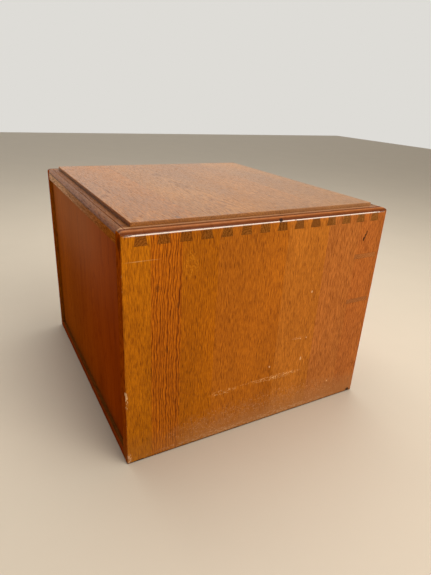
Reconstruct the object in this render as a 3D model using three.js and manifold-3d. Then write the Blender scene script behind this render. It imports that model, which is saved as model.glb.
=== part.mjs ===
// Sewing table: a dovetailed oak box with a raised field on its top, a panel let into its back
// and three drawers between two through-tenoned rails. The middle drawer holds a sliding tray.
// Millimetres, +Z up, origin in the middle of the footprint on the floor, drawers towards -Y.

import * as THREE from 'three';
import { mergeVertices } from 'three/addons/utils/BufferGeometryUtils.js';
import Module from 'manifold-3d';

// ---- driving dimensions -------------------------------------------------------------------

// carcass
const WIDTH = 656;             // across both side boards, along X
const DEPTH = 610;             // front edge to back edge, along Y
const LEDGE_HEIGHT = 487;      // floor to the moulded ledge round the top
const FIELD_RISE = 8;          // raised field above the ledge
const TOP_THICKNESS = 26;      // top board at the ledge
const SIDE_THICKNESS = 24;
const BOTTOM_THICKNESS = 24;
const ARRIS_RADIUS = 3;        // upright outer edges
const FOOT_CHAMFER = 1.5;      // edge that meets the floor
const GLUE_GAP = 0.3;          // between pieces that touch

// moulding round the top
const FIELD_MARGIN = 26;       // outer face to the raised field
const NOSE_RADIUS = 9;         // rounded outer edge of the top
const QUIRK_FROM_FACE = 12;    // outer face to the quirk
const QUIRK_WIDTH = 1.4;
const QUIRK_DEPTH = 1.2;

// dovetails between the top board and the side boards
const PIN_PITCH = 41.5;
const PIN_WIDTH = 24;          // at the underside of the top
const PIN_SLOPE = 0.19;        // narrowing of each flank per millimetre of height
const END_TAIL_MIN = 20;       // least width left for the tail at each end

// bottom board's stopped tongues
const TONGUE_THICKNESS = 10;
const TONGUE_REACH = 8;
const TONGUE_STOP = 26;        // from the front and back edges

// back panel
const PANEL_THICKNESS = 6;
const PANEL_RECESS = 7.5;      // back edge of the boards to the panel's face
const PANEL_REACH = 8;         // depth of the grooves that hold it

// rails between the drawers, tenoned through the side boards
const TOP_OPENING = 72;        // clear height for the top drawer
const MIDDLE_OPENING = 93;     // clear height for the middle drawer
const RAIL_THICKNESS = 18;
const RAIL_DEPTH = 75;         // from the front edge
const TENON_THICKNESS = 10;
const TENON_SHOULDER = 10;     // rail's front edge to the tenon

// drawers
const FRONT_THICKNESS = 20;
const FRONT_GAP = 1.5;         // round every drawer front
const DRAWER_LENGTH = 560;     // front face to the outside of the drawer's back
const BOX_THICKNESS = 14;      // drawer sides and backs
const BOX_SIDE_PLAY = 1.2;     // drawer side to carcass side
const RUN_PLAY = 0.4;          // drawer side to what it runs on
const BOX_DROP = 3;            // front's upper edge to the side's upper edge
const FLOOR_THICKNESS = 5;     // drawer bottoms
const FLOOR_LIFT = 9;          // side's lower edge to the drawer bottom
const FLOOR_REACH = 6;         // depth of the grooves that hold it
const TAIL_PITCH = 28;
const TAIL_SPACE = 7;          // between two tails where they are widest
const TAIL_SLOPE = 1 / 7;
const GRIP_WIDTH = 110;        // finger cut-out in each front's upper edge
const GRIP_DEPTH = 26;

// runners behind the rails, their screws, and the blocks that stop the drawers
const RUNNER_WIDTH = 30;       // from the carcass side
const RUNNER_TONGUE = 8;       // into the rail's back edge
const RUNNER_TONGUE_THICKNESS = 6;
const PANEL_PLAY = 4;          // runner's end to the back panel
const SCREW_RADIUS = 2;
const SCREW_HEAD_RADIUS = 4;
const SCREW_LENGTH = 45;
const SCREW_INSET = 60;        // from each end of the runner
const STOP_WIDTH = 36;
const STOP_DEPTH = 20;
const STOP_HEIGHT = 6;
const STOP_OFFSET = 150;       // middle of the table to the middle of a stop
const STOP_PLAY = 0.5;         // drawer front to the stop

// thread tray in the middle drawer
const TRAY_DRAWER = 'middle';
const LEDGE_SIZE = 8;
const LEDGE_LIFT = 22;         // drawer bottom to the ledge's underside
const TRAY_LENGTH = 216;       // along the drawer
const TRAY_HEIGHT = 34;
const TRAY_WALL = 8;
const TRAY_FLOOR = 6;
const TRAY_PLAY = 1;           // each side of the tray
const DIVIDER_THICKNESS = 6;
const DIVIDER_DROP = 4;        // below the tray's upper edge
const HOUSING_REACH = 3;       // depth of the grooves that hold the dividers
const PEG_RADIUS = 2.5;
const PEG_HEIGHT = 24;         // above the tray's floor
const PEG_SET = 4;             // into the tray's floor
const PEG_SIDES = 12;
const PEG_COLUMNS = 4;
const PEG_ROWS = 2;

// ---- derived places -----------------------------------------------------------------------

const HALF_W = WIDTH / 2;
const HALF_D = DEPTH / 2;
const INNER_X = HALF_W - SIDE_THICKNESS;             // inner face of a side board
const TOP_UNDERSIDE = LEDGE_HEIGHT - TOP_THICKNESS;
const TOTAL_HEIGHT = LEDGE_HEIGHT + FIELD_RISE;
const PANEL_BACK = HALF_D - PANEL_RECESS;
const PANEL_FRONT = PANEL_BACK - PANEL_THICKNESS;
const BEYOND = 50;                                   // how far cutters run past a piece

const FRONT_WIDTH = 2 * (INNER_X - FRONT_GAP);
const BOX_X = INNER_X - BOX_SIDE_PLAY;               // outer face of a drawer side
const BOX_INNER_X = BOX_X - BOX_THICKNESS;
const TAIL_REACH = BOX_THICKNESS;                    // tails into the front and the back
const FRONT_BACK_Y = FRONT_THICKNESS;                // drawer frame: y = 0 at the front's face
const BOX_BACK_Y = DRAWER_LENGTH - BOX_THICKNESS;
const BOX_BOTTOM = RUN_PLAY - FRONT_GAP;             // drawer frame: z = 0 at the front's edge
const FLOOR_TOP = BOX_BOTTOM + FLOOR_LIFT + FLOOR_THICKNESS;

const UPPER_RAIL = { name: 'upper', z: TOP_UNDERSIDE - TOP_OPENING - RAIL_THICKNESS };
const LOWER_RAIL = { name: 'lower', z: UPPER_RAIL.z - MIDDLE_OPENING - RAIL_THICKNESS };
const RAILS = [UPPER_RAIL, LOWER_RAIL];

/** Drawer whose front fills the opening between two heights. */
function drawerBetween(name, z0, z1) {
  return { name, floor: z0, z: z0 + FRONT_GAP, height: z1 - z0 - 2 * FRONT_GAP };
}

const DRAWERS = [
  drawerBetween('top', UPPER_RAIL.z + RAIL_THICKNESS, TOP_UNDERSIDE),
  drawerBetween('middle', LOWER_RAIL.z + RAIL_THICKNESS, UPPER_RAIL.z),
  drawerBetween('bottom', BOTTOM_THICKNESS, LOWER_RAIL.z),
];

// ---- solids -------------------------------------------------------------------------------

const wasm = await Module();
wasm.setup();

/** Closed solid from a three.js geometry. */
function toSolid(geometry) {
  const plain = geometry.clone();
  plain.deleteAttribute('normal');
  plain.deleteAttribute('uv');
  const merged = mergeVertices(plain, 1e-4);
  return new wasm.Manifold(new wasm.Mesh({
    numProp: 3,
    vertProperties: new Float32Array(merged.attributes.position.array),
    triVerts: new Uint32Array(merged.index.array),
  }));
}

/** Geometry that three.js can draw, from a solid. */
function toGeometry(solid) {
  const mesh = solid.getMesh();
  const geometry = new THREE.BufferGeometry();
  geometry.setAttribute('position', new THREE.BufferAttribute(mesh.vertProperties, 3));
  geometry.setIndex(new THREE.BufferAttribute(mesh.triVerts, 1));
  geometry.computeVertexNormals();
  return geometry;
}

/** Box between two x, two y and two z values. */
function slab([x0, x1], [y0, y1], [z0, z1]) {
  const box = new THREE.BoxGeometry(x1 - x0, y1 - y0, z1 - z0);
  box.translate((x0 + x1) / 2, (y0 + y1) / 2, (z0 + z1) / 2);
  return toSolid(box);
}

/** Outline in the (y, z) plane, run along X. */
function prismAlongX(points, x0, x1) {
  const shape = new THREE.Shape(points.map(([y, z]) => new THREE.Vector2(y, z)));
  const prism = new THREE.ExtrudeGeometry(shape, { depth: x1 - x0, bevelEnabled: false });
  const turn = new THREE.Matrix4().makeBasis(
    new THREE.Vector3(0, 1, 0), new THREE.Vector3(0, 0, 1), new THREE.Vector3(1, 0, 0));
  prism.applyMatrix4(turn);
  prism.translate(x0, 0, 0);
  return toSolid(prism);
}

/** Upright block with rounded or bevelled rims: z0 and z1 are its ends with the rims. */
function rimmedBlock(halfX, halfY, z0, z1, rim, rimSteps, corner) {
  const x = halfX - rim;
  const y = halfY - rim;
  const shape = new THREE.Shape();
  if (corner > rim) {
    const r = corner - rim;
    shape.moveTo(-x + r, -y);
    shape.lineTo(x - r, -y);
    shape.absarc(x - r, -y + r, r, -Math.PI / 2, 0, false);
    shape.absarc(x - r, y - r, r, 0, Math.PI / 2, false);
    shape.absarc(-x + r, y - r, r, Math.PI / 2, Math.PI, false);
    shape.absarc(-x + r, -y + r, r, Math.PI, Math.PI * 1.5, false);
  } else {
    shape.moveTo(-x, -y);
    shape.lineTo(x, -y);
    shape.lineTo(x, y);
    shape.lineTo(-x, y);
  }
  const block = new THREE.ExtrudeGeometry(shape, {
    depth: z1 - z0 - 2 * rim,
    bevelEnabled: true,
    bevelThickness: rim,
    bevelSize: rim,
    bevelSegments: rimSteps,
    curveSegments: 3,
  });
  block.translate(0, 0, z0 + rim);
  return toSolid(block);
}

// ---- scene graph --------------------------------------------------------------------------

const finishes = {
  sideOak: { color: 0xb0681c, roughness: 0.38 },
  topOak: { color: 0xa5734f, roughness: 0.3 },
  bottomOak: { color: 0x7b5a30, roughness: 0.5 },
  stainedPly: { color: 0x6b3213, roughness: 0.45 },
  frontOak: { color: 0xab651e, roughness: 0.38 },
  beech: { color: 0xc9a678, roughness: 0.6 },
  runnerBeech: { color: 0xb68c5c, roughness: 0.55 },
  floorPly: { color: 0xcdaa7a, roughness: 0.65 },
  trayBirch: { color: 0xd2b07e, roughness: 0.55 },
  steel: { color: 0x9a9a98, roughness: 0.35, metalness: 1 },
};

/** Named mesh with its own material. */
function piece(name, solid, finish) {
  const mesh = new THREE.Mesh(toGeometry(solid), new THREE.MeshStandardMaterial(finish));
  mesh.name = name;
  return mesh;
}

// ---- carcass ------------------------------------------------------------------------------

/** Outer shape of the closed box with its nose, arrises, quirk and raised field. */
function boxEnvelope() {
  const arrised = rimmedBlock(
    HALF_W, HALF_D, 0, TOTAL_HEIGHT + BEYOND, FOOT_CHAMFER, 1, ARRIS_RADIUS);
  const nosed = rimmedBlock(HALF_W, HALF_D, -BEYOND, LEDGE_HEIGHT, NOSE_RADIUS, 6, 0);
  const fieldX = HALF_W - FIELD_MARGIN;
  const fieldY = HALF_D - FIELD_MARGIN;
  const field = slab([-fieldX, fieldX], [-fieldY, fieldY], [LEDGE_HEIGHT - 1, TOTAL_HEIGHT]);
  return arrised.intersect(nosed).add(field).subtract(quirkRing());
}

/** Narrow groove that runs round the ledge. */
function quirkRing() {
  const z = [LEDGE_HEIGHT - QUIRK_DEPTH, LEDGE_HEIGHT + 1];
  const outerX = HALF_W - QUIRK_FROM_FACE;
  const outerY = HALF_D - QUIRK_FROM_FACE;
  const innerX = outerX - QUIRK_WIDTH;
  const innerY = outerY - QUIRK_WIDTH;
  const outer = slab([-outerX, outerX], [-outerY, outerY], z);
  const inner = slab([-innerX, innerX], [-innerY, innerY], [z[0] - 1, z[1] + 1]);
  return outer.subtract(inner);
}

/** Centres of the pins along Y, evenly spaced about the middle. */
function pinCentres() {
  const usable = DEPTH - 2 * END_TAIL_MIN - PIN_WIDTH;
  const count = Math.floor(usable / PIN_PITCH) + 1;
  return Array.from({ length: count }, (_, i) => (i - (count - 1) / 2) * PIN_PITCH);
}

/** One pin of the top board: widest at the underside. */
function topPin(y, side, extra) {
  const low = TOP_UNDERSIDE - extra;
  const high = LEDGE_HEIGHT + 1;
  const lowHalf = PIN_WIDTH / 2 + extra;
  const highHalf = lowHalf - (high - low) * PIN_SLOPE;
  const outline = [[y - lowHalf, low], [y + lowHalf, low], [y + highHalf, high], [y - highHalf, high]];
  const x0 = INNER_X - 1;
  const x1 = HALF_W + BEYOND;
  return side > 0 ? prismAlongX(outline, x0, x1) : prismAlongX(outline, -x1, -x0);
}

/** The thin back panel, or the room it needs when extra is given. */
function backPanel(extra = 0) {
  const x = INNER_X + PANEL_REACH - GLUE_GAP + extra;
  const z0 = BOTTOM_THICKNESS - PANEL_REACH + GLUE_GAP - extra;
  const z1 = TOP_UNDERSIDE + PANEL_REACH - GLUE_GAP + extra;
  return slab([-x, x], [PANEL_FRONT - extra, PANEL_BACK + extra], [z0, z1]);
}

function topBoard(envelope) {
  const x = INNER_X - GLUE_GAP;
  let board = slab([-x, x], [-HALF_D, HALF_D], [TOP_UNDERSIDE, TOTAL_HEIGHT]);
  for (const y of pinCentres()) {
    board = board.add(topPin(y, 1, 0)).add(topPin(y, -1, 0));
  }
  return board.intersect(envelope).subtract(backPanel(GLUE_GAP));
}

/** Side board with the sockets for the pins, its grooves, mortises and screw holes. */
function sideBoard(side, envelope) {
  const x = side > 0 ? [INNER_X, HALF_W] : [-HALF_W, -INNER_X];
  let board = slab(x, [-HALF_D, HALF_D], [0, LEDGE_HEIGHT]);
  for (const y of pinCentres()) {
    board = board.subtract(topPin(y, side, GLUE_GAP));
  }
  board = board.subtract(backPanel(GLUE_GAP)).subtract(bottomTongue(side, GLUE_GAP));
  for (const one of RAILS) {
    board = board.subtract(railTenon(side, one, GLUE_GAP));
  }
  for (const { x: screwX, y, z } of screwPlaces(side)) {
    board = board.subtract(screw(side, GLUE_GAP).translate([screwX, y, z]));
  }
  return board.intersect(envelope);
}

/** Stopped tongue on one end of the bottom board. */
function bottomTongue(side, extra) {
  const from = INNER_X - BEYOND;
  const to = INNER_X + TONGUE_REACH - GLUE_GAP + extra;
  const x = side > 0 ? [from, to] : [-to, -from];
  const y = HALF_D - TONGUE_STOP + extra;
  const z = (BOTTOM_THICKNESS - PANEL_REACH) / 2;
  const half = TONGUE_THICKNESS / 2 + extra;
  return slab(x, [-y, y], [z - half, z + half]);
}

function bottomBoard(envelope) {
  const x = INNER_X - GLUE_GAP;
  return slab([-x, x], [-HALF_D, HALF_D], [0, BOTTOM_THICKNESS])
    .add(bottomTongue(1, 0))
    .add(bottomTongue(-1, 0))
    .subtract(backPanel(GLUE_GAP))
    .intersect(envelope);
}

// ---- rails, runners and stops -------------------------------------------------------------

/** Tenon at one end of a rail, flush with the outside of the side board. */
function railTenon(side, rail, extra) {
  const x = [INNER_X - 1, HALF_W + extra];
  const middle = rail.z + RAIL_THICKNESS / 2;
  const half = TENON_THICKNESS / 2 + extra;
  const y0 = -HALF_D + TENON_SHOULDER - extra;
  const y1 = -HALF_D + RAIL_DEPTH + extra;
  return slab(side > 0 ? x : [-x[1], -x[0]], [y0, y1], [middle - half, middle + half]);
}

function drawerRail(rail) {
  const x = INNER_X - GLUE_GAP;
  let board = slab([-x, x], [-HALF_D, -HALF_D + RAIL_DEPTH], [rail.z, rail.z + RAIL_THICKNESS]);
  for (const side of [1, -1]) {
    board = board.add(railTenon(side, rail, 0)).subtract(runnerTongue(side, rail, GLUE_GAP));
  }
  return board;
}

/** X span of a runner. */
function runnerWidth(side) {
  const x = [INNER_X - RUNNER_WIDTH, INNER_X - GLUE_GAP];
  return side > 0 ? x : [-x[1], -x[0]];
}

/** Y values of a runner's two ends, without its tongue. */
function runnerSpan() {
  return [-HALF_D + RAIL_DEPTH + GLUE_GAP, PANEL_FRONT - PANEL_PLAY];
}

/** Tongue on a runner's front end, in the back edge of its rail. */
function runnerTongue(side, rail, extra) {
  const [x0, x1] = runnerWidth(side);
  const y1 = runnerSpan()[0] + 1;
  const y0 = -HALF_D + RAIL_DEPTH - RUNNER_TONGUE + GLUE_GAP - extra;
  const middle = rail.z + RAIL_THICKNESS / 2;
  const half = RUNNER_TONGUE_THICKNESS / 2 + extra;
  return slab([x0 - extra, x1 + extra], [y0, y1], [middle - half, middle + half]);
}

/** Middles of the screw heads in the runners on one side of the carcass. */
function screwPlaces(side) {
  const [y0, y1] = runnerSpan();
  const places = [];
  for (const rail of RAILS) {
    for (const y of [y0 + SCREW_INSET, y1 - SCREW_INSET]) {
      const x = side * (INNER_X - RUNNER_WIDTH);
      places.push({ rail, x, y, z: rail.z + RAIL_THICKNESS / 2 });
    }
  }
  return places;
}

/** Countersunk screw with its head at the origin, driven outwards along X. */
function screw(side, extra = 0) {
  const head = SCREW_HEAD_RADIUS + extra;
  const shank = SCREW_RADIUS + extra;
  const coneEnd = SCREW_HEAD_RADIUS - SCREW_RADIUS;
  const tip = SCREW_LENGTH + extra;
  const profile = [
    [0, -extra], [head, -extra], [head, 0.4], [shank, coneEnd + 0.4],
    [shank, tip - 3], [0, tip],
  ].map(([r, length]) => new THREE.Vector2(r, length));
  const body = new THREE.LatheGeometry(profile, 14);
  body.rotateZ(-side * Math.PI / 2);
  return toSolid(body);
}

/** Runner behind a rail: the drawer above slides on it and the one below is kept level. */
function runner(side, rail) {
  let strip = slab(runnerWidth(side), runnerSpan(), [rail.z, rail.z + RAIL_THICKNESS])
    .add(runnerTongue(side, rail, 0));
  for (const place of screwPlaces(side).filter((one) => one.rail === rail)) {
    strip = strip.subtract(screw(side, GLUE_GAP).translate([place.x, place.y, place.z]));
  }
  return strip;
}

/** Block behind a drawer's front, on the rail or the bottom board below it. */
function stopBlock(side, drawer) {
  const x = side * STOP_OFFSET;
  const y = -HALF_D + FRONT_THICKNESS + STOP_PLAY;
  return slab([x - STOP_WIDTH / 2, x + STOP_WIDTH / 2], [y, y + STOP_DEPTH],
    [drawer.floor + GLUE_GAP, drawer.floor + STOP_HEIGHT]);
}

// ---- drawers, each in a frame with y = 0 at its front face and z = 0 at its lower edge ----

/** Tails across a height: middle and half width of each at its wide end. */
function tailRow(z0, z1) {
  const count = Math.max(2, Math.round((z1 - z0) / TAIL_PITCH));
  const pitch = (z1 - z0) / count;
  return Array.from({ length: count }, (_, i) => (
    { z: z0 + (i + 0.5) * pitch, half: (pitch - TAIL_SPACE) / 2 }));
}

/** One tail of a drawer side, widest at y1. */
function tail({ z, half }, y0, y1, x0, x1, extra) {
  const narrow = half - Math.abs(y1 - y0) * TAIL_SLOPE + extra;
  const wide = half + extra;
  const reach = y1 + Math.sign(y1 - y0) * extra;
  const root = y0 - Math.sign(y1 - y0);
  const outline = [[root, z - narrow], [reach, z - wide], [reach, z + wide], [root, z + narrow]];
  return prismAlongX(y1 > y0 ? outline : outline.reverse(), x0, x1);
}

/** The x span of a drawer side, widened by extra towards the drawer's inside. */
function boxSideSpan(side, extra = 0) {
  const x = [BOX_INNER_X - extra, BOX_X];
  return side > 0 ? x : [-x[1], -x[0]];
}

function boxTop(drawer) {
  return drawer.height - BOX_DROP;
}

/** All tails at the front of one drawer side. */
function frontTails(side, drawer, extra) {
  const [x0, x1] = boxSideSpan(side, extra);
  const outside = side > 0 ? [x0, x1 + extra] : [x0 - extra, x1];
  return tailRow(BOX_BOTTOM, boxTop(drawer)).map((one) => tail(
    one, FRONT_BACK_Y, FRONT_BACK_Y - TAIL_REACH + GLUE_GAP, outside[0], outside[1], extra));
}

/** All tails at the back of one drawer side, above the drawer bottom. */
function backTails(side, drawer, extra) {
  const [x0, x1] = boxSideSpan(side, extra);
  const outside = side > 0 ? [x0, x1 + BEYOND * extra] : [x0 - BEYOND * extra, x1];
  return tailRow(FLOOR_TOP, boxTop(drawer)).map((one) => tail(
    one, BOX_BACK_Y, DRAWER_LENGTH, outside[0], outside[1], extra));
}

/** Drawer bottom, or the room it needs when extra is given. */
function drawerFloor(extra = 0) {
  const x = BOX_INNER_X + FLOOR_REACH - GLUE_GAP + extra;
  const z = FLOOR_TOP - FLOOR_THICKNESS;
  return slab([-x, x],
    [FRONT_BACK_Y - FLOOR_REACH + GLUE_GAP - extra, DRAWER_LENGTH + extra],
    [z - extra, FLOOR_TOP + extra]);
}

/** Half-round finger cut-out in the upper edge of a front. */
function gripCut(height) {
  const cut = new THREE.CylinderGeometry(1, 1, FRONT_THICKNESS + 2, 40);
  cut.scale(GRIP_WIDTH / 2, 1, GRIP_DEPTH);
  cut.translate(0, FRONT_THICKNESS / 2, height);
  return toSolid(cut);
}

function drawerFront(drawer) {
  const x = FRONT_WIDTH / 2;
  let front = slab([-x, x], [0, FRONT_THICKNESS], [0, drawer.height]);
  for (const side of [1, -1]) {
    for (const cutter of frontTails(side, drawer, GLUE_GAP)) {
      front = front.subtract(cutter);
    }
  }
  return front.subtract(drawerFloor(GLUE_GAP)).subtract(gripCut(drawer.height));
}

function drawerSide(side, drawer) {
  let board = slab(boxSideSpan(side), [FRONT_BACK_Y + GLUE_GAP, BOX_BACK_Y - GLUE_GAP],
    [BOX_BOTTOM, boxTop(drawer)]);
  for (const one of [...frontTails(side, drawer, 0), ...backTails(side, drawer, 0)]) {
    board = board.add(one);
  }
  const heel = slab(boxSideSpan(side), [BOX_BACK_Y - 1, DRAWER_LENGTH], [BOX_BOTTOM, FLOOR_TOP]);
  return board.add(heel).subtract(drawerFloor(GLUE_GAP));
}

function drawerBack(drawer) {
  let board = slab([-BOX_X, BOX_X], [BOX_BACK_Y, DRAWER_LENGTH],
    [FLOOR_TOP + GLUE_GAP, boxTop(drawer)]);
  for (const side of [1, -1]) {
    for (const cutter of backTails(side, drawer, GLUE_GAP)) {
      board = board.subtract(cutter);
    }
  }
  return board;
}

function drawerGroup(drawer) {
  const group = new THREE.Group();
  group.position.set(0, -HALF_D, drawer.z);
  const name = `${drawer.name}_drawer`;
  group.add(piece(`${name}_front`, drawerFront(drawer), finishes.frontOak));
  group.add(piece(`${name}_left_side`, drawerSide(-1, drawer), finishes.beech));
  group.add(piece(`${name}_right_side`, drawerSide(1, drawer), finishes.beech));
  group.add(piece(`${name}_back`, drawerBack(drawer), finishes.beech));
  group.add(piece(`${name}_bottom`, drawerFloor(), finishes.floorPly));
  return group;
}

// ---- thread tray, in a frame with its origin at the middle of its underside ---------------

const TRAY_X = BOX_INNER_X - TRAY_PLAY;
const TRAY_INNER_X = TRAY_X - TRAY_WALL;
const TRAY_Y = TRAY_LENGTH / 2;
const TRAY_INNER_Y = TRAY_Y - TRAY_WALL;
const DIVIDER_X = TRAY_INNER_X / 3;

/** Long wall at the tray's front or back. */
function trayLongWall(side) {
  const y = side > 0 ? [TRAY_INNER_Y, TRAY_Y] : [-TRAY_Y, -TRAY_INNER_Y];
  let wall = slab([-TRAY_X, TRAY_X], y, [TRAY_FLOOR + GLUE_GAP, TRAY_HEIGHT]);
  for (const end of [-1, 1]) {
    wall = wall.subtract(crossDivider(end, GLUE_GAP));
  }
  return wall;
}

/** Short wall between the long walls. */
function trayEnd(side) {
  const x = side > 0 ? [TRAY_INNER_X, TRAY_X] : [-TRAY_X, -TRAY_INNER_X];
  const y = TRAY_INNER_Y - GLUE_GAP;
  return slab(x, [-y, y], [TRAY_FLOOR + GLUE_GAP, TRAY_HEIGHT])
    .subtract(longDivider(side, GLUE_GAP));
}

/** Z span of a divider; the housing that takes it is open at the top. */
function dividerHeights(extra) {
  const top = extra > 0 ? TRAY_HEIGHT + extra : TRAY_HEIGHT - DIVIDER_DROP;
  return [TRAY_FLOOR + GLUE_GAP - extra, top];
}

/** Divider that runs fore and aft, or the room it needs when extra is given. */
function crossDivider(side, extra = 0) {
  const half = DIVIDER_THICKNESS / 2 + extra;
  const x = side * DIVIDER_X;
  const y = TRAY_INNER_Y + HOUSING_REACH - GLUE_GAP + extra;
  return slab([x - half, x + half], [-y, y], dividerHeights(extra));
}

/** Divider that splits an end compartment into a front and a back one. */
function longDivider(side, extra = 0) {
  const half = DIVIDER_THICKNESS / 2 + extra;
  const x0 = DIVIDER_X + DIVIDER_THICKNESS / 2 - HOUSING_REACH / 2 + GLUE_GAP - extra;
  const x1 = TRAY_INNER_X + HOUSING_REACH - GLUE_GAP + extra;
  return slab(side > 0 ? [x0, x1] : [-x1, -x0], [-half, half], dividerHeights(extra));
}

function pegPlaces() {
  const pitchX = (2 * DIVIDER_X - DIVIDER_THICKNESS) / PEG_COLUMNS;
  const pitchY = 2 * TRAY_INNER_Y / PEG_ROWS;
  const places = [];
  for (let row = 0; row < PEG_ROWS; row += 1) {
    for (let column = 0; column < PEG_COLUMNS; column += 1) {
      places.push([
        (column - (PEG_COLUMNS - 1) / 2) * pitchX,
        (row - (PEG_ROWS - 1) / 2) * pitchY,
      ]);
    }
  }
  return places;
}

/** Spool peg with a rounded tip, its foot set into the tray's floor. */
function peg(extra = 0) {
  const r = PEG_RADIUS + extra;
  const foot = TRAY_FLOOR - PEG_SET + GLUE_GAP - extra;
  const top = TRAY_FLOOR + PEG_HEIGHT;
  const profile = [new THREE.Vector2(0, foot), new THREE.Vector2(r, foot)];
  for (const angle of [0, 30, 60, 90]) {
    const turn = THREE.MathUtils.degToRad(angle);
    profile.push(new THREE.Vector2(r * Math.cos(turn), top - r + r * Math.sin(turn)));
  }
  profile[profile.length - 1].x = 0;
  const body = new THREE.LatheGeometry(profile, PEG_SIDES);
  body.rotateX(Math.PI / 2);
  return toSolid(body);
}

function trayFloor() {
  let floor = slab([-TRAY_X, TRAY_X], [-TRAY_Y, TRAY_Y], [0, TRAY_FLOOR]);
  for (const [x, y] of pegPlaces()) {
    floor = floor.subtract(peg(GLUE_GAP).translate([x, y, 0]));
  }
  return floor;
}

function threadTray() {
  const tray = new THREE.Group();
  tray.add(piece('tray_floor', trayFloor(), finishes.trayBirch));
  tray.add(piece('tray_front_wall', trayLongWall(-1), finishes.trayBirch));
  tray.add(piece('tray_back_wall', trayLongWall(1), finishes.trayBirch));
  for (const [end, side] of [['left', -1], ['right', 1]]) {
    const cross = crossDivider(side).subtract(longDivider(side, GLUE_GAP));
    tray.add(piece(`tray_${end}_end`, trayEnd(side), finishes.trayBirch));
    tray.add(piece(`tray_${end}_cross_divider`, cross, finishes.trayBirch));
    tray.add(piece(`tray_${end}_long_divider`, longDivider(side), finishes.trayBirch));
  }
  pegPlaces().forEach(([x, y], index) => {
    const one = piece(`spool_peg_${index + 1}`, peg(), finishes.runnerBeech);
    one.position.set(x, y, 0);
    tray.add(one);
  });
  return tray;
}

/** Ledge on the inside of a drawer side, in the drawer's frame. */
function trayLedge(side) {
  const x = [BOX_INNER_X - LEDGE_SIZE, BOX_INNER_X - GLUE_GAP];
  const z = FLOOR_TOP + LEDGE_LIFT;
  return slab(side > 0 ? x : [-x[1], -x[0]],
    [FRONT_BACK_Y + 1, BOX_BACK_Y - 1], [z, z + LEDGE_SIZE]);
}

// ---- assembly -----------------------------------------------------------------------------

const table = new THREE.Group();
const carcass = new THREE.Group();
const envelope = boxEnvelope();
carcass.add(piece('top_board', topBoard(envelope), finishes.topOak));
carcass.add(piece('left_side_board', sideBoard(-1, envelope), finishes.sideOak));
carcass.add(piece('right_side_board', sideBoard(1, envelope), finishes.sideOak));
carcass.add(piece('bottom_board', bottomBoard(envelope), finishes.bottomOak));
carcass.add(piece('back_panel', backPanel(), finishes.stainedPly));

for (const rail of RAILS) {
  carcass.add(piece(`${rail.name}_rail`, drawerRail(rail), finishes.frontOak));
}
for (const [sideName, side] of [['left', -1], ['right', 1]]) {
  for (const rail of RAILS) {
    const name = `${rail.name}_${sideName}_runner`;
    carcass.add(piece(name, runner(side, rail), finishes.runnerBeech));
  }
  for (const drawer of DRAWERS) {
    const name = `${drawer.name}_${sideName}_stop`;
    carcass.add(piece(name, stopBlock(side, drawer), finishes.runnerBeech));
  }
  screwPlaces(side).forEach(({ x, y, z }, index) => {
    const one = piece(`${sideName}_runner_screw_${index + 1}`, screw(side), finishes.steel);
    one.position.set(x, y, z);
    carcass.add(one);
  });
}
table.add(carcass);

for (const drawer of DRAWERS) {
  const group = drawerGroup(drawer);
  if (drawer.name === TRAY_DRAWER) {
    group.add(piece('tray_left_ledge', trayLedge(-1), finishes.runnerBeech));
    group.add(piece('tray_right_ledge', trayLedge(1), finishes.runnerBeech));
    const tray = threadTray();
    tray.position.set(0, BOX_BACK_Y - TRAY_PLAY - TRAY_Y,
      FLOOR_TOP + LEDGE_LIFT + LEDGE_SIZE + GLUE_GAP);
    group.add(tray);
  }
  table.add(group);
}

export default table;
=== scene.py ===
"""Sewing table: a dovetailed oak box on the floor with three drawers and a sliding thread tray.

Metres, +Z up, the origin in the middle of the footprint, drawers towards -Y. The left side board
is the sunlit one, and the stained panel closes the back.
"""

import logging
import math
from collections.abc import Callable, Iterable
from dataclasses import dataclass, field, replace
from enum import Enum

import bpy
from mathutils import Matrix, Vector

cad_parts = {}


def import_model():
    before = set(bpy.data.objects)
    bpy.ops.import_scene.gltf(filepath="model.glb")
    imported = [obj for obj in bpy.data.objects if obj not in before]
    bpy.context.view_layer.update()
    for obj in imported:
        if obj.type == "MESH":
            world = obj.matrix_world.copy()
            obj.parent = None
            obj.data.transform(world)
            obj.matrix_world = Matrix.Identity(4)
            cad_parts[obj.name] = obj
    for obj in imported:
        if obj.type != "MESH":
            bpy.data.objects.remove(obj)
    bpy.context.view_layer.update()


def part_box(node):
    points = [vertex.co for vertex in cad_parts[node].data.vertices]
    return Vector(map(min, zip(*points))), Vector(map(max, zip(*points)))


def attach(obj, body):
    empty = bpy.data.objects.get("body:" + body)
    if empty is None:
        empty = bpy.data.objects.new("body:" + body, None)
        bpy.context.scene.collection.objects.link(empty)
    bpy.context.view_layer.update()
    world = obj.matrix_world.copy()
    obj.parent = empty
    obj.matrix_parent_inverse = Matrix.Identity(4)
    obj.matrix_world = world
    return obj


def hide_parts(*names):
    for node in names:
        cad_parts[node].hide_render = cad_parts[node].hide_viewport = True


log = logging.getLogger("sewing_table")

MM = 0.001
HAIR = 0.0003          # glue gap between two pieces that touch
TOUCH = 0.00002        # how near a point lies to a face to count as on it
MERGE = TOUCH / 4      # points nearer than this become one
BEYOND = 0.05          # how far a cutting block runs past the piece it cuts
SMOOTH = 35            # largest turn between faces, in degrees, that is shaded smooth

HALF_WIDTH = 0.328
HALF_DEPTH = 0.305
LEDGE_HEIGHT = 0.487
TABLE_HEIGHT = 0.495
FIELD_HALF_WIDTH = 0.302

Span = tuple[float, float]
Triple = tuple[float, float, float]
Colour = Triple


class Axis(Enum):
    """The three directions of the table."""

    X = 0
    Y = 1
    Z = 2


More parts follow.
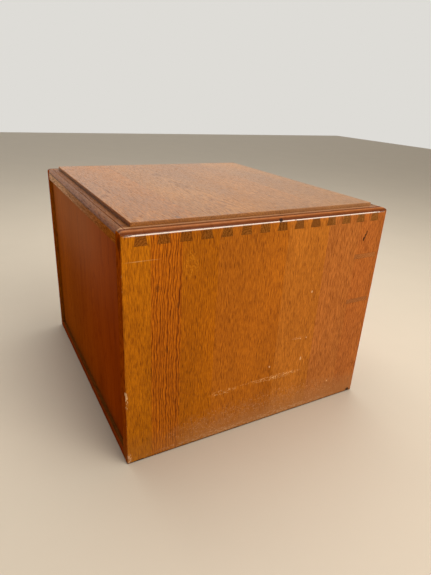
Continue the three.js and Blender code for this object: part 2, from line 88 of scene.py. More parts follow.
class Side(Enum):
    """Left and right, seen from the front, as the sign of X."""

    LEFT = -1
    RIGHT = 1

    @property
    def word(self) -> str:
        """The word used in the names of pieces."""
        return self.name.lower()

    def span(self, inner: float, outer: float) -> Span:
        """X span between two distances from the middle, lowest first."""
        return (inner, outer) if self is Side.RIGHT else (-outer, -inner)


def paint(red: int, green: int, blue: int) -> Colour:
    """Colour for a shader from the 0 to 255 values of a paint card.

    Args:
        red: Red as displayed.
        green: Green as displayed.
        blue: Blue as displayed.

    Returns:
        The scene-linear colour.
    """
    def linear(value: int) -> float:
        """One channel made linear."""
        part = value / 255
        return part / 12.92 if part <= 0.04045 else ((part + 0.055) / 1.055) ** 2.4

    return linear(red), linear(green), linear(blue)


# ---- the bench: edit tools ---------------------------------------------------------------------


class Workpiece:
    """One mesh on the bench, shaped with the ordinary edit tools."""

    def __init__(self, shape: bpy.types.Object) -> None:
        """Takes hold of a mesh object."""
        self.shape = shape

    @classmethod
    def block(cls, name: str, x: Span, y: Span, z: Span) -> "Workpiece":
        """Squared block between two values on each axis.

        Args:
            name: Name of the piece.
            x: Extent along X.
            y: Extent along Y.
            z: Extent along Z.

        Returns:
            The block, with its place in its mesh.
        """
        bpy.ops.object.select_all(action="DESELECT")
        spans = (x, y, z)
        bpy.ops.mesh.primitive_cube_add(
            size=1,
            location=[(low + high) / 2 for low, high in spans],
            scale=[high - low for low, high in spans],
        )
        return cls._fresh(name)

    @classmethod
    def rod(
        cls, name: str, centre: Iterable[float], radius: float, length: float, sides: int,
        along: Axis = Axis.Z,
    ) -> "Workpiece":
        """Turned rod, centred on a point.

        Args:
            name: Name of the piece.
            centre: Middle of the rod.
            radius: Its radius.
            length: Its length.
            sides: Facets round it.
            along: Axis it runs along.

        Returns:
            The rod, with its place in its mesh.
        """
        turn = {Axis.X: (0, math.pi / 2, 0), Axis.Y: (math.pi / 2, 0, 0), Axis.Z: (0, 0, 0)}[along]
        bpy.ops.object.select_all(action="DESELECT")
        bpy.ops.mesh.primitive_cylinder_add(
            vertices=sides, radius=radius, depth=length, location=tuple(centre), rotation=turn)
        return cls._fresh(name)

    @classmethod
    def _fresh(cls, name: str) -> "Workpiece":
        """Names the primitive just added and puts its place into its mesh."""
        shape = bpy.context.active_object
        shape.name = name
        shape.data.name = name
        bpy.ops.object.transform_apply(location=True, rotation=True, scale=True)
        return cls(shape)

    def hold(self) -> None:
        """Makes this the only selected and the active object."""
        bpy.ops.object.select_all(action="DESELECT")
        self.shape.select_set(True)
        bpy.context.view_layer.objects.active = self.shape

    def _choose(self, kind: str, picked: Callable[[object], bool]) -> None:
        """Leaves the piece in edit mode with the picked edges or faces selected.

        Args:
            kind: EDGE or FACE.
            picked: Says which edges or faces are wanted.
        """
        self.hold()
        bpy.ops.object.mode_set(mode="EDIT")
        bpy.ops.mesh.select_mode(type=kind)
        bpy.ops.mesh.select_all(action="DESELECT")
        bpy.ops.object.mode_set(mode="OBJECT")
        mesh = self.shape.data
        for part in mesh.edges if kind == "EDGE" else mesh.polygons:
            part.select = picked(part)
        bpy.ops.object.mode_set(mode="EDIT")

    def choose_edges(self, wanted: Callable[[Vector, Vector], bool]) -> None:
        """Selects the edges whose two ends pass the test."""
        points = self.shape.data.vertices
        self._choose("EDGE", lambda e: wanted(points[e.vertices[0]].co, points[e.vertices[1]].co))

    def choose_faces(self, wanted: Callable[[Vector, Vector], bool]) -> None:
        """Selects the faces whose middle and normal pass the test."""
        self._choose("FACE", lambda f: wanted(f.center, f.normal))

    def round_edges(
        self, wanted: Callable[[Vector, Vector], bool], radius: float, steps: int = 1,
    ) -> "Workpiece":
        """Rounds or chamfers edges.

        Args:
            wanted: Says which edges, from their two ends.
            radius: Radius of the round, or width of the chamfer.
            steps: Facets across it; one gives a chamfer.

        Returns:
            The same piece.
        """
        self.choose_edges(wanted)
        bpy.ops.mesh.bevel(offset=radius, segments=steps, profile=0.5, affect="EDGES")
        bpy.ops.object.mode_set(mode="OBJECT")
        return self

    def taper(self, normal: Vector, factor: Iterable[float]) -> "Workpiece":
        """Scales the face with this normal about its own middle.

        Args:
            normal: Outward direction of the face.
            factor: Scale along X, Y and Z.

        Returns:
            The same piece.
        """
        middle = next(f.center.copy() for f in self.shape.data.polygons if f.normal.dot(normal) > 0.9)
        self.choose_faces(lambda _, n: n.dot(normal) > 0.9)
        bpy.ops.transform.resize(value=tuple(factor), center_override=middle)
        bpy.ops.object.mode_set(mode="OBJECT")
        return self

    def draw_out(self, normal: Vector, reach: float, factor: float) -> "Workpiece":
        """Extrudes the face furthest along a direction and scales its new end.

        Args:
            normal: Outward direction of the face.
            reach: How far it is drawn out.
            factor: Scale of the new end.

        Returns:
            The same piece.
        """
        self.choose_faces(lambda _, n: n.dot(normal) > 0.99)
        bpy.ops.mesh.extrude_region_move(TRANSFORM_OT_translate={"value": normal * reach})
        bpy.ops.object.mode_set(mode="OBJECT")
        return self.taper(normal, (factor, factor, factor))

    def stretch(self, factor: Iterable[float], centre: Iterable[float]) -> "Workpiece":
        """Scales the whole piece about a point."""
        self.choose_faces(lambda _, n: True)
        bpy.ops.transform.resize(value=tuple(factor), center_override=tuple(centre))
        bpy.ops.object.mode_set(mode="OBJECT")
        return self

    def copies(self, name: str, moves: Iterable[Vector]) -> list["Workpiece"]:
        """Copies, each with its own mesh, moved to other places.

        Args:
            name: First part of the copies' names.
            moves: Shift of each copy from this piece.

        Returns:
            The copies, in order.
        """
        made = []
        for number, move in enumerate(moves, start=1):
            self.hold()
            bpy.ops.object.duplicate(linked=False)
            bpy.ops.transform.translate(value=move)
            bpy.ops.object.transform_apply(location=True, rotation=True, scale=True)
            made.append(Workpiece(bpy.context.active_object))
            made[-1].shape.name = f"{name}_{number}"
            made[-1].shape.data.name = made[-1].shape.name
        return made

    def _combine(self, other: "Workpiece", operation: str) -> None:
        """Applies a boolean with another piece."""
        self.hold()
        step = self.shape.modifiers.new("joinery", "BOOLEAN")
        step.operation = operation
        step.solver = "EXACT"
        step.object = other.shape
        bpy.ops.object.modifier_apply(modifier=step.name)

    def cut(self, *tools: "Workpiece") -> "Workpiece":
        """Takes tools away from the piece and discards them."""
        for tool in tools:
            self._combine(tool, "DIFFERENCE")
            tool.discard()
        return self

    def add(self, *parts: "Workpiece") -> "Workpiece":
        """Grows parts onto the piece and discards them."""
        for part in parts:
            self._combine(part, "UNION")
            part.discard()
        return self

    def trim_to(self, outline: "Workpiece", keep: bool = False) -> "Workpiece":
        """Keeps what lies inside an outline.

        Args:
            outline: The outer form.
            keep: Leaves the outline on the bench for the next piece.

        Returns:
            The same piece.
        """
        self._combine(outline, "INTERSECT")
        if not keep:
            outline.discard()
        return self

    def discard(self) -> None:
        """Takes the piece off the bench."""
        bpy.data.meshes.remove(self.shape.data)

    def finish(self) -> "Workpiece":
        """Merges doubles and smooths shallow edges, with flat faces kept flat to the eye."""
        self.hold()
        bpy.ops.object.mode_set(mode="EDIT")
        bpy.ops.mesh.select_all(action="SELECT")
        bpy.ops.mesh.remove_doubles(threshold=MERGE)
        bpy.ops.object.mode_set(mode="OBJECT")
        bpy.ops.object.shade_smooth_by_angle(angle=math.radians(SMOOTH))
        step = self.shape.modifiers.new("even_shading", "WEIGHTED_NORMAL")
        step.keep_sharp = True
        bpy.ops.object.modifier_apply(modifier=step.name)
        return self


def joined(parts: list[Workpiece]) -> Workpiece:
    """Several separate blocks as one tool."""
    parts[0].hold()
    for part in parts:
        part.shape.select_set(True)
    bpy.ops.object.join()
    return parts[0]


def upright(a: Vector, b: Vector) -> bool:
    """True for an edge that runs straight up."""
    return abs(a.x - b.x) < TOUCH and abs(a.y - b.y) < TOUCH


def both_at(axis: Axis, value: float) -> Callable[[Vector, Vector], bool]:
    """Test for edges that lie in a plane across an axis."""
    return lambda a, b: max(abs(a[axis.value] - value), abs(b[axis.value] - value)) < TOUCH


# ---- shader sheets and shared groups -----------------------------------------------------------

Value = bpy.types.NodeSocket | float | tuple | Vector


class Sheet:
    """Adds and wires the nodes of a material, a world or a shared group."""

    def __init__(self, tree: bpy.types.NodeTree) -> None:
        """Opens a node tree."""
        self.tree = tree

    def feed(self, socket: bpy.types.NodeSocket, value: Value) -> None:
        """Wires a socket to another, or sets its value."""
        if isinstance(value, bpy.types.NodeSocket):
            self.tree.links.new(value, socket)
        elif isinstance(value, (tuple, Vector)) and socket.type == "RGBA":
            socket.default_value = (*value[:3], 1.0)
        else:
            socket.default_value = value

    def add(self, kind: str, feeds: dict[str | int, Value] | None = None, **settings) -> bpy.types.Node:
        """Adds a node.

        Args:
            kind: Blender's name of the node, without the ShaderNode prefix.
            feeds: What goes into its sockets, by name or number.
            **settings: The node's own properties.

        Returns:
            The node.
        """
        node = self.tree.nodes.new(f"ShaderNode{kind}")
        for name, value in settings.items():
            setattr(node, name, value)
        for socket, value in (feeds or {}).items():
            self.feed(node.inputs[socket], value)
        return node

    def math(self, operation: str, first: Value, second: Value = 0.0, clamp: bool = False) -> Value:
        """One operation on two values."""
        feeds = {0: first, 1: second}
        return self.add("Math", feeds, operation=operation, use_clamp=clamp).outputs[0]

    def times(self, first: Value, second: Value) -> Value:
        """Product of two values."""
        return self.math("MULTIPLY", first, second)

    def plus(self, first: Value, second: Value) -> Value:
        """Sum of two values."""
        return self.math("ADD", first, second)

    def minus(self, first: Value, second: Value) -> Value:
        """What the second value leaves of the first."""
        return self.math("SUBTRACT", first, second)

    def beyond(self, value: Value, half: float) -> Value:
        """How far a value lies outside a half width, on either side of the middle."""
        return self.minus(self.math("ABSOLUTE", value), half)

    def vector(self, operation: str, first: Value, second: Value = (0, 0, 0)) -> Value:
        """One operation on vectors, as a vector."""
        return self.add("VectorMath", {0: first, 1: second}, operation=operation).outputs[0]

    def ovals(self, place: Value, centre: Value, size: Value) -> Value:
        """Distance from a centre, as a share of a size along each axis."""
        away = self.vector("DIVIDE", self.vector("SUBTRACT", place, centre), size)
        return self.add("VectorMath", {0: away}, operation="LENGTH").outputs["Value"]

    def fade(self, value: Value, start: Value, end: Value, low: float = 0.0, high: float = 1.0) -> Value:
        """Smooth step from low at start to high at end."""
        feeds = {0: value, 1: start, 2: end, 3: low, 4: high}
        return self.add("MapRange", feeds, interpolation_type="SMOOTHSTEP").outputs[0]

    def mix(self, amount: Value, first: Value, second: Value, blend: str = "MIX") -> Value:
        """Two colours blended."""
        feeds = {0: amount, 6: first, 7: second}
        node = self.add("Mix", feeds, data_type="RGBA", blend_type=blend)
        return node.outputs[2]

    def tint(self, colour: Value, tone: Value, amount: Value | None = None) -> Value:
        """A colour multiplied by a tone, wholly or by an amount."""
        tinted = self.mix(1.0, colour, tone, "MULTIPLY")
        return tinted if amount is None else self.mix(amount, colour, tinted)

    def noise(self, where: Value, scale: Value, detail: float = 2.0, roughness: float = 0.5) -> Value:
        """Noise stretched by a scale along each axis, as one value."""
        stretched = self.vector("MULTIPLY", where, scale)
        feeds = {"Vector": stretched, "Scale": 1.0, "Detail": detail, "Roughness": roughness}
        return self.add("TexNoise", feeds).outputs[0]

    def ramp(self, value: Value, stops: Iterable[tuple[float, Colour]], stepped: bool = False) -> Value:
        """Colours along a value, blended or in steps."""
        node = self.add("ValToRGB", {0: value})
        band = node.color_ramp
        band.interpolation = "CONSTANT" if stepped else "LINEAR"
        stops = tuple(stops)
        while len(band.elements) < len(stops):
            band.elements.new(1.0)
        for element, (place, colour) in zip(band.elements, stops):
            element.position = place
            element.color = (*colour, 1.0)
        return node.outputs[0]

    def split(self, vector: Value) -> tuple[Value, Value, Value]:
        """The three parts of a vector."""
        node = self.add("SeparateXYZ", {0: vector})
        return node.outputs[0], node.outputs[1], node.outputs[2]

    def joined(self, x: Value, y: Value = 0.0, z: Value = 0.0) -> Value:
        """A vector from its parts."""
        return self.add("CombineXYZ", {0: x, 1: y, 2: z}).outputs[0]

    def facing(self, axis: Axis) -> Value:
        """How far the surface looks along an axis of the table."""
        return self.split(self.add("TexCoord").outputs["Normal"])[axis.value]

    def group(self, tree: bpy.types.NodeTree, feeds: dict[str, Value]) -> bpy.types.Node:
        """Places a shared group."""
        node = self.tree.nodes.new("ShaderNodeGroup")
        node.node_tree = tree
        for socket, value in feeds.items():
            self.feed(node.inputs[socket], value)
        return node


class SharedGroup:
    """A node group with named inputs and outputs, built once."""

    kinds = {"float": "NodeSocketFloat", "vector": "NodeSocketVector"}

    def __init__(self, name: str, vectors: list[str], values: list[str], outputs: list[str]) -> None:
        """Makes the empty group.

        Args:
            name: Name of the group.
            vectors: Names of its vector inputs.
            values: Names of its inputs that are single values.
            outputs: Names of the outputs, all of them values.
        """
        self.tree = bpy.data.node_groups.new(name, "ShaderNodeTree")
        for labels, kind in ((vectors, "vector"), (values, "float")):
            for label in labels:
                self.tree.interface.new_socket(label, in_out="INPUT", socket_type=self.kinds[kind])
        for label in outputs:
            self.tree.interface.new_socket(label, in_out="OUTPUT", socket_type=self.kinds["float"])
        self.sheet = Sheet(self.tree)
        self.given = self.tree.nodes.new("NodeGroupInput").outputs
        self.result = self.tree.nodes.new("NodeGroupOutput").inputs


@dataclass(frozen=True)
class Growth:
    """How timber grows. Each scale is the waves in a metre across, through and along the grain."""

    seed_shift: Triple = (3.1, 5.3, 7.7)
    wander: Triple = (7, 7, 2.2)
    ripple: Triple = (55, 55, 26)
    ripple_share: float = 0.42
    wave_through: float = 0.6            # how much of the wander also runs through the board
    lean: float = 0.035                  # slope of the pith along the board
    years: float = 90.0                  # how often wide years turn to narrow ones
    years_share: float = 1.6
    early_until: float = 0.48            # share of a year's growth
    late_from: float = 0.86
    pits: Triple = (640, 640, 60)
    pits_between: float = 0.4            # pores left between the rings
    fibres: Triple = (520, 520, 64)
    flecks: Triple = (900, 260, 130)
    fleck_patches: Triple = (26, 26, 9)
    clouds: Triple = (9, 9, 2.6)


def growth_group(growth: Growth = Growth()) -> bpy.types.NodeTree:
    """Solid timber: growth rings round a pith that wanders, pores, fibres and rays.

    Args:
        growth: How the timber grows.

    Returns:
        The group. Its pattern coordinates are across the board, through it and along it.
    """
    made = SharedGroup(
        "timber_growth", ["Pattern"], ["Pith Across", "Pith Depth", "Ring Width", "Waviness", "Seed"],
        ["Rings", "Pores", "Fibres", "Rays", "Cloud"],
    )
    sheet, given = made.sheet, made.given
    shift = sheet.joined(given["Seed"], given["Seed"], given["Seed"])
    place = sheet.vector("ADD", given["Pattern"], sheet.vector("MULTIPLY", shift, growth.seed_shift))
    across, through, along = sheet.split(given["Pattern"])

    wander = sheet.noise(place, growth.wander, 3, 0.55)
    ripple = sheet.noise(place, growth.ripple, 2, 0.5)
    wave = sheet.plus(sheet.minus(wander, 0.5), sheet.times(sheet.minus(ripple, 0.5), growth.ripple_share))
    wave = sheet.times(wave, given["Waviness"])
    away = sheet.plus(sheet.minus(across, given["Pith Across"]), wave)
    lean = sheet.plus(sheet.times(along, growth.lean), sheet.times(wave, growth.wave_through))
    deep = sheet.plus(sheet.plus(through, given["Pith Depth"]), lean)
    radius = sheet.math("SQRT", sheet.plus(sheet.times(away, away), sheet.times(deep, deep)))
    uneven = sheet.joined(sheet.times(radius, growth.years), given["Seed"])
    years = sheet.add("TexNoise", {"Vector": uneven, "Scale": 1.0, "Detail": 1.0}).outputs[0]
    count = sheet.plus(sheet.math("DIVIDE", radius, given["Ring Width"]),
                       sheet.times(years, growth.years_share))
    season = sheet.math("FRACT", count)
    early = sheet.fade(season, 0.0, growth.early_until, 1.0, 0.0)
    rings = sheet.math("MAXIMUM", early, sheet.fade(season, growth.late_from, 1.0))
    sheet.feed(made.result["Rings"], rings)

    pits = sheet.fade(sheet.noise(place, growth.pits, 1, 0.5), 0.54, 0.62)
    dense = sheet.plus(sheet.times(rings, 1 - growth.pits_between), growth.pits_between)
    sheet.feed(made.result["Pores"], sheet.times(pits, dense))
    sheet.feed(made.result["Fibres"], sheet.noise(place, growth.fibres, 3, 0.75))

    fleck = sheet.fade(sheet.noise(place, growth.flecks, 1, 0.5), 0.6, 0.7)
    patch = sheet.fade(sheet.noise(place, growth.fleck_patches, 1, 0.5), 0.5, 0.66)
    sheet.feed(made.result["Rays"], sheet.times(fleck, patch))
    sheet.feed(made.result["Cloud"], sheet.noise(place, growth.clouds, 3, 0.55))
    return made.tree


def spot_group() -> bpy.types.NodeTree:
    """Ragged oval spot: a knock, a chip or a stain.

    Returns:
        The group, whose mask is 1 inside the spot.
    """
    made = SharedGroup("ragged_spot", ["Position", "Centre", "Size"], ["Rag", "Soft"], ["Mask"])
    sheet, given = made.sheet, made.given
    reach = sheet.ovals(given["Position"], given["Centre"], given["Size"])
    rag = sheet.minus(sheet.noise(given["Position"], (310, 310, 310), 3, 0.6), 0.5)
    ragged = sheet.plus(reach, sheet.times(rag, given["Rag"]))
    mask = sheet.fade(ragged, sheet.minus(1.0, given["Soft"]), sheet.plus(1.0, given["Soft"]), 1.0, 0.0)
    sheet.feed(made.result["Mask"], mask)
    return made.tree


def scuff_group() -> bpy.types.NodeTree:
    """Run of short broken scratches inside an oval.

    Returns:
        The group. Streak is the scratches' frequency along each axis.
    """
    made = SharedGroup("scuff_run", ["Position", "Centre", "Size", "Streak"], ["Cover"], ["Mask"])
    sheet, given = made.sheet, made.given
    reach = sheet.ovals(given["Position"], given["Centre"], given["Size"])
    inside = sheet.fade(reach, 0.55, 1.0, 1.0, 0.0)
    streaks = sheet.noise(given["Position"], given["Streak"], 3, 0.7)
    limit = sheet.minus(1.0, given["Cover"])
    broken = sheet.fade(streaks, limit, sheet.plus(limit, 0.06))
    sheet.feed(made.result["Mask"], sheet.times(inside, broken))
    return made.tree


def rubbed_edge_group() -> bpy.types.NodeTree:
    """Wear along the edges of a closed box round the origin.

    Returns:
        The group, whose mask is 1 on the rubbed edges.
    """
    made = SharedGroup("rubbed_edges", ["Position", "Half", "Centre"], ["Width", "Cover"], ["Mask"])
    sheet, given = made.sheet, made.given
    off = sheet.vector("ABSOLUTE", sheet.vector("SUBTRACT", given["Position"], given["Centre"]))
    x, y, z = sheet.split(sheet.vector("SUBTRACT", given["Half"], off))
    low = sheet.math("MINIMUM", sheet.math("MINIMUM", x, y), z)
    high = sheet.math("MAXIMUM", sheet.math("MAXIMUM", x, y), z)
    middle = sheet.minus(sheet.plus(sheet.plus(x, y), z), sheet.plus(low, high))
    corner = sheet.math("DIVIDE", middle, given["Width"])
    grit = sheet.noise(given["Position"], (140, 140, 140), 4, 0.7)
    worn = sheet.minus(sheet.plus(grit, given["Cover"]), corner)
    sheet.feed(made.result["Mask"], sheet.fade(worn, 0.5, 0.72))
    return made.tree


def dust_group() -> bpy.types.NodeTree:
    """Grey bloom of floor dust and polish that thins out upwards.

    Returns:
        The group, whose mask is 1 at the floor.
    """
    made = SharedGroup("floor_dust", ["Position"], ["Height"], ["Mask"])
    sheet, given = made.sheet, made.given
    mottle = sheet.noise(given["Position"], (45, 45, 70), 4, 0.65)
    level = sheet.math("DIVIDE", sheet.split(given["Position"])[2], given["Height"])
    ragged = sheet.plus(level, sheet.times(sheet.minus(mottle, 0.5), 1.3))
    sheet.feed(made.result["Mask"], sheet.fade(ragged, 0.1, 1.1, 1.0, 0.0))
    return made.tree


@dataclass(frozen=True)
class SharedGroups:
    """The groups that more than one finish uses."""

    growth: bpy.types.NodeTree = field(default_factory=growth_group)
    spot: bpy.types.NodeTree = field(default_factory=spot_group)
    scuff: bpy.types.NodeTree = field(default_factory=scuff_group)
    rubbed: bpy.types.NodeTree = field(default_factory=rubbed_edge_group)
    dust: bpy.types.NodeTree = field(default_factory=dust_group)


# ---- finishes ----------------------------------------------------------------------------------


class Paint:
    """An empty principled material on the bench, ready to be wired."""

    def __init__(self, name: str) -> None:
        """Opens a material with this name."""
        self.material = bpy.data.materials.new(name)
        self.material.use_nodes = True
        self.sheet = Sheet(self.material.node_tree)
        self.shader = self.material.node_tree.nodes["Principled BSDF"]
        self.place = self.sheet.add("TexCoord").outputs["Object"]

    def wire(self, colour: Value, rough: Value, height: Value, relief: float, specular: float
             ) -> bpy.types.Material:
        """Feeds the shader its colour, roughness and relief.

        Args:
            colour: Base colour.
            rough: Roughness.
            height: Height of the relief, as a share.
            relief: Depth of the relief.
            specular: Specular level.

        Returns:
            The material.
        """
        bump = self.sheet.add("Bump", {"Strength": 1.0, "Distance": relief, "Height": height})
        self.sheet.feed(self.shader.inputs["Base Color"], colour)
        self.sheet.feed(self.shader.inputs["Roughness"], rough)
        self.sheet.feed(self.shader.inputs["Normal"], bump.outputs[0])
        self.shader.inputs["Specular IOR Level"].default_value = specular
        return self.material

    def coat(self, weight: Value, rough: float, refraction: float | None = None) -> None:
        """Lays a clear coat over the finish."""
        self.shader.inputs["Coat Roughness"].default_value = rough
        if refraction:
            self.shader.inputs["Coat IOR"].default_value = refraction
        self.sheet.feed(self.shader.inputs["Coat Weight"], weight)


@dataclass(frozen=True)
class Stave:
    """One stave of a glued-up board.

    upto is its far edge across the board. pith and depth say where its pith lay from the middle
    of the board, ring is the growth in a year, and figure is how strongly the rings show.
    """

    upto: float
    tone: Colour
    pith: float = 0.4
    depth: float = 0.1
    ring: float = 0.003
    figure: float = 0.35


@dataclass(frozen=True)
class Spot:
    """A knock, chip, stain or repair on a board, or a strip of painted shade."""

    centre: Triple
    size: Triple
    tone: Colour
    strength: float = 1.0
    rag: float = 1.4
    soft: float = 0.25


@dataclass(frozen=True)
class Scuff:
    """A run of short scratches on a board."""

    centre: Triple
    size: Triple
    streak: Triple
    tone: Colour
    cover: float = 0.42
    strength: float = 1.0


LEDGE_LIGHT_AND_DIRT_BANDS = (              # bands across the ledge, from the field's foot to the outer edge: a painted highlight at the foot, dirt and painted shade at the quirk, a painted highlight on the bend, painted shade where the nose turns down
    (0.0, paint(174, 126, 88)), (0.24, paint(170, 122, 84)), (0.32, paint(112, 60, 28)),
    (0.60, paint(106, 54, 22)), (0.67, paint(170, 104, 56)), (0.76, paint(164, 98, 48)),
    (0.85, paint(130, 70, 24)), (0.92, paint(106, 50, 10)),
)
LEDGE_FIBRES = ((0.36, (0.8, 0.77, 0.72)), (0.64, (1.16, 1.2, 1.24)))
LEDGE_PORE = (0.55, 0.42, 0.32)
POLISH_FROM = (0.4774, 0.4786)       # heights where the glossy line on the nose fades in
POLISH_TO = (0.4803, 0.4816)         # and out
LEDGE_BANDS_FROM = (0.4781, 0.4790)     # heights where the ledge's painted highlight and shade bands fade in
CLOUD_TONES = ((0.3, (0.82, 0.8, 0.76)), (0.7, (1.14, 1.15, 1.18)))
FIBRE_LIGHT = (1.22, 1.27, 1.34)     # what the palest fibres multiply by
RAY_TONE = (1.35, 1.45, 1.6)
# dirt and painted shade in the crease at the foot of the raised field
GRIME_AND_SHADE = (0.4, 0.36, 0.32)
END_RINGS = 0.45                     # how much more the rings show in end grain
RUBBED_WIDTH = 0.012


@dataclass(frozen=True)
class TimberFinish:
    """Solid timber, sawn from a log whose rings run right through each stave."""

    name: str
    axes: tuple[Axis, Axis, Axis]                 # across, through, along
    middle: Triple                                # middle of the board
    across: Span                                  # the staves, from the middle
    staves: tuple[Stave, ...]
    roughness: float = 0.36
    gloss: float = 0.4
    waviness: float = 0.02
    early: Colour = (0.54, 0.42, 0.28)            # what a ring's dark part multiplies by
    pore: Colour = (0.36, 0.24, 0.14)
    end_tone: Colour = (0.5, 0.45, 0.6)           # what end grain multiplies by
    rise: tuple[tuple[float, Colour], ...] = ()   # multiplies by height above the floor
    height: Span = (0.0, TABLE_HEIGHT)
    pores: float = 0.8
    rays: float = 0.25
    fibre: Colour = (0.72, 0.66, 0.56)            # what the darkest fibres multiply by
    back: tuple[Colour, Colour] | None = None     # painted light and shade: multiplies faces that look back, left to right
    polished_nose_painted_ledge: bool = False                   # rubbed to a gloss on the rounded edge; also paints highlight and shade bands on the ledge
    refraction: float = 1.2
    relief: float = 0.00012
    spots: tuple[Spot, ...] = ()
    scuffs: tuple[Scuff, ...] = ()
    dust: float = 0.0
    dust_tone: Colour = (0.33, 0.13, 0.038)
    dust_height: float = 0.075
    rubbed: Colour | None = None
    rubbed_cover: float = 0.12
    seed: float = 0.0
    lipping: tuple[float, float, Colour] | None = None   # field half widths and the ledge's tone

    def build(self, groups: SharedGroups) -> bpy.types.Material:
        """Makes the material.

        Args:
            groups: The shared shader groups.

        Returns:
            The material.
        """
        pot = Paint(self.name)
        sheet, place = pot.sheet, pot.place
        height = sheet.split(place)[2]
        centred = sheet.add("Mapping", {"Vector": place,
                                        "Location": tuple(-value for value in self.middle)})
        parts = sheet.split(centred.outputs[0])
        across, through, along = (parts[axis.value] for axis in self.axes)
        share = sheet.add("MapRange", {0: across, 1: self.across[0], 2: self.across[1]}).outputs[0]
        tone, strength, log_node = self._staves(sheet, groups, share, (across, through, along))
        grown = log_node.outputs

        colour = sheet.tint(tone, sheet.ramp(grown["Cloud"], CLOUD_TONES))
        if self.rise:
            level = sheet.add("MapRange", {0: height, 1: self.height[0], 2: self.height[1]})
            colour = sheet.tint(colour, sheet.ramp(level.outputs[0], self.rise))
        ends = sheet.fade(sheet.math("ABSOLUTE", sheet.facing(self.axes[2])), 0.86, 0.97)
        ends = sheet.times(ends, sheet.fade(height, LEDGE_HEIGHT, LEDGE_HEIGHT + 0.0002, 1.0, 0.0))
        strength = sheet.math("ADD", strength, sheet.times(ends, END_RINGS), clamp=True)
        ringed = sheet.times(grown["Rings"], strength)
        colour = sheet.tint(colour, self.early, ringed)
        fibres = ((0.36, self.fibre), (0.64, FIBRE_LIGHT))
        colour = sheet.tint(colour, sheet.ramp(grown["Fibres"], fibres))
        colour = sheet.tint(colour, RAY_TONE, sheet.times(grown["Rays"], self.rays))
        colour = sheet.tint(colour, self.pore, sheet.times(grown["Pores"], self.pores))
        colour = sheet.tint(colour, self.end_tone, ends)

        rough = sheet.plus(sheet.times(grown["Cloud"], 0.14), self.roughness - 0.07)
        rough = sheet.plus(rough, sheet.times(grown["Pores"], 0.25))
        rough = sheet.plus(rough, sheet.times(ends, 0.12))
        relief = sheet.minus(sheet.times(grown["Fibres"], 0.5), sheet.times(grown["Pores"], 1.0))
        relief = sheet.minus(relief, sheet.times(ringed, 0.5))

        # painted light and shade on the faces that look back
        if self.back:
            colour = self._painted_back_light(sheet, place, colour)
        if self.lipping:
            colour = self._lipping(sheet, place, colour)
        # the ledge also gets painted highlight and shade bands
        if self.polished_nose_painted_ledge:
            colour = self._moulding(sheet, groups, place, colour)
        if self.dust:
            bloom = sheet.group(groups.dust, {"Position": place, "Height": self.dust_height})
            settled = sheet.fade(share, 0.7, 0.92, self.dust, self.dust * 0.3)
            bloom = sheet.times(bloom.outputs[0], settled)
            colour = sheet.mix(bloom, colour, self.dust_tone)
            rough = sheet.plus(rough, sheet.times(bloom, 0.25))
        if self.rubbed:
            half = Vector((HALF_WIDTH, HALF_DEPTH, LEDGE_HEIGHT / 2))
            worn = sheet.group(groups.rubbed, {
                "Position": place, "Half": half, "Centre": Vector((0, 0, half.z)),
                "Width": RUBBED_WIDTH, "Cover": self.rubbed_cover}).outputs[0]
            colour = sheet.mix(worn, colour, self.rubbed)
            rough = sheet.plus(rough, sheet.times(worn, 0.2))
        knocked = 0.0
        for spot in self.spots:
            mask = sheet.group(groups.spot, {
                "Position": place, "Centre": Vector(spot.centre), "Size": Vector(spot.size),
                "Rag": spot.rag, "Soft": spot.soft}).outputs[0]
            mask = sheet.times(mask, spot.strength)
            colour = sheet.mix(mask, colour, spot.tone)
            relief = sheet.minus(relief, mask)
            knocked = sheet.math("MAXIMUM", knocked, mask)
        for scuff in self.scuffs:
            mask = sheet.group(groups.scuff, {
                "Position": place, "Centre": Vector(scuff.centre), "Size": Vector(scuff.size),
                "Streak": Vector(scuff.streak), "Cover": scuff.cover}).outputs[0]
            mask = sheet.times(mask, scuff.strength)
            colour = sheet.mix(mask, colour, scuff.tone)
            rough = sheet.plus(rough, sheet.times(mask, 0.2))
            relief = sheet.minus(relief, sheet.times(mask, 0.6))

        pot.shader.inputs["IOR"].default_value = self.refraction
        if self.polished_nose_painted_ledge:
            pot.coat(sheet.times(self._nose(sheet, place), sheet.minus(1.0, knocked)), 0.07, 3.6)
        return pot.wire(colour, rough, relief, self.relief, self.gloss)

    def _staves(self, sheet: Sheet, groups: SharedGroups, share: Value, pattern: tuple[Value, ...]
                ) -> tuple[Value, Value, bpy.types.Node]:
        """Lays the staves side by side.

        Args:
            sheet: The material's sheet.
            groups: The shared shader groups.
            share: Place across the board, from 0 to 1.
            pattern: Place across, through and along the board.

        Returns:
            The staves' tones, how strongly their rings show, and the node of their growth.
        """
        low, high = self.across
        tones, logs, strengths = [], [], []
        start = 0.0
        for stave in self.staves:
            tones.append((start, stave.tone))
            logs.append((start, (stave.pith + 0.5, stave.depth + 0.5, stave.ring * 100)))
            strengths.append((start, (stave.figure,) * 3))
            start = (stave.upto - low) / (high - low)
        pith, depth, ring = sheet.split(sheet.ramp(share, logs, stepped=True))
        grown = sheet.group(groups.growth, {
            "Pattern": sheet.joined(*pattern),
            "Pith Across": sheet.minus(pith, 0.5),
            "Pith Depth": sheet.minus(depth, 0.5),
            "Ring Width": sheet.times(ring, 0.01),
            "Waviness": self.waviness,
            "Seed": sheet.plus(pith, self.seed),
        })
        strength = sheet.split(sheet.ramp(share, strengths, stepped=True))[0]
        return sheet.ramp(share, tones, stepped=True), strength, grown

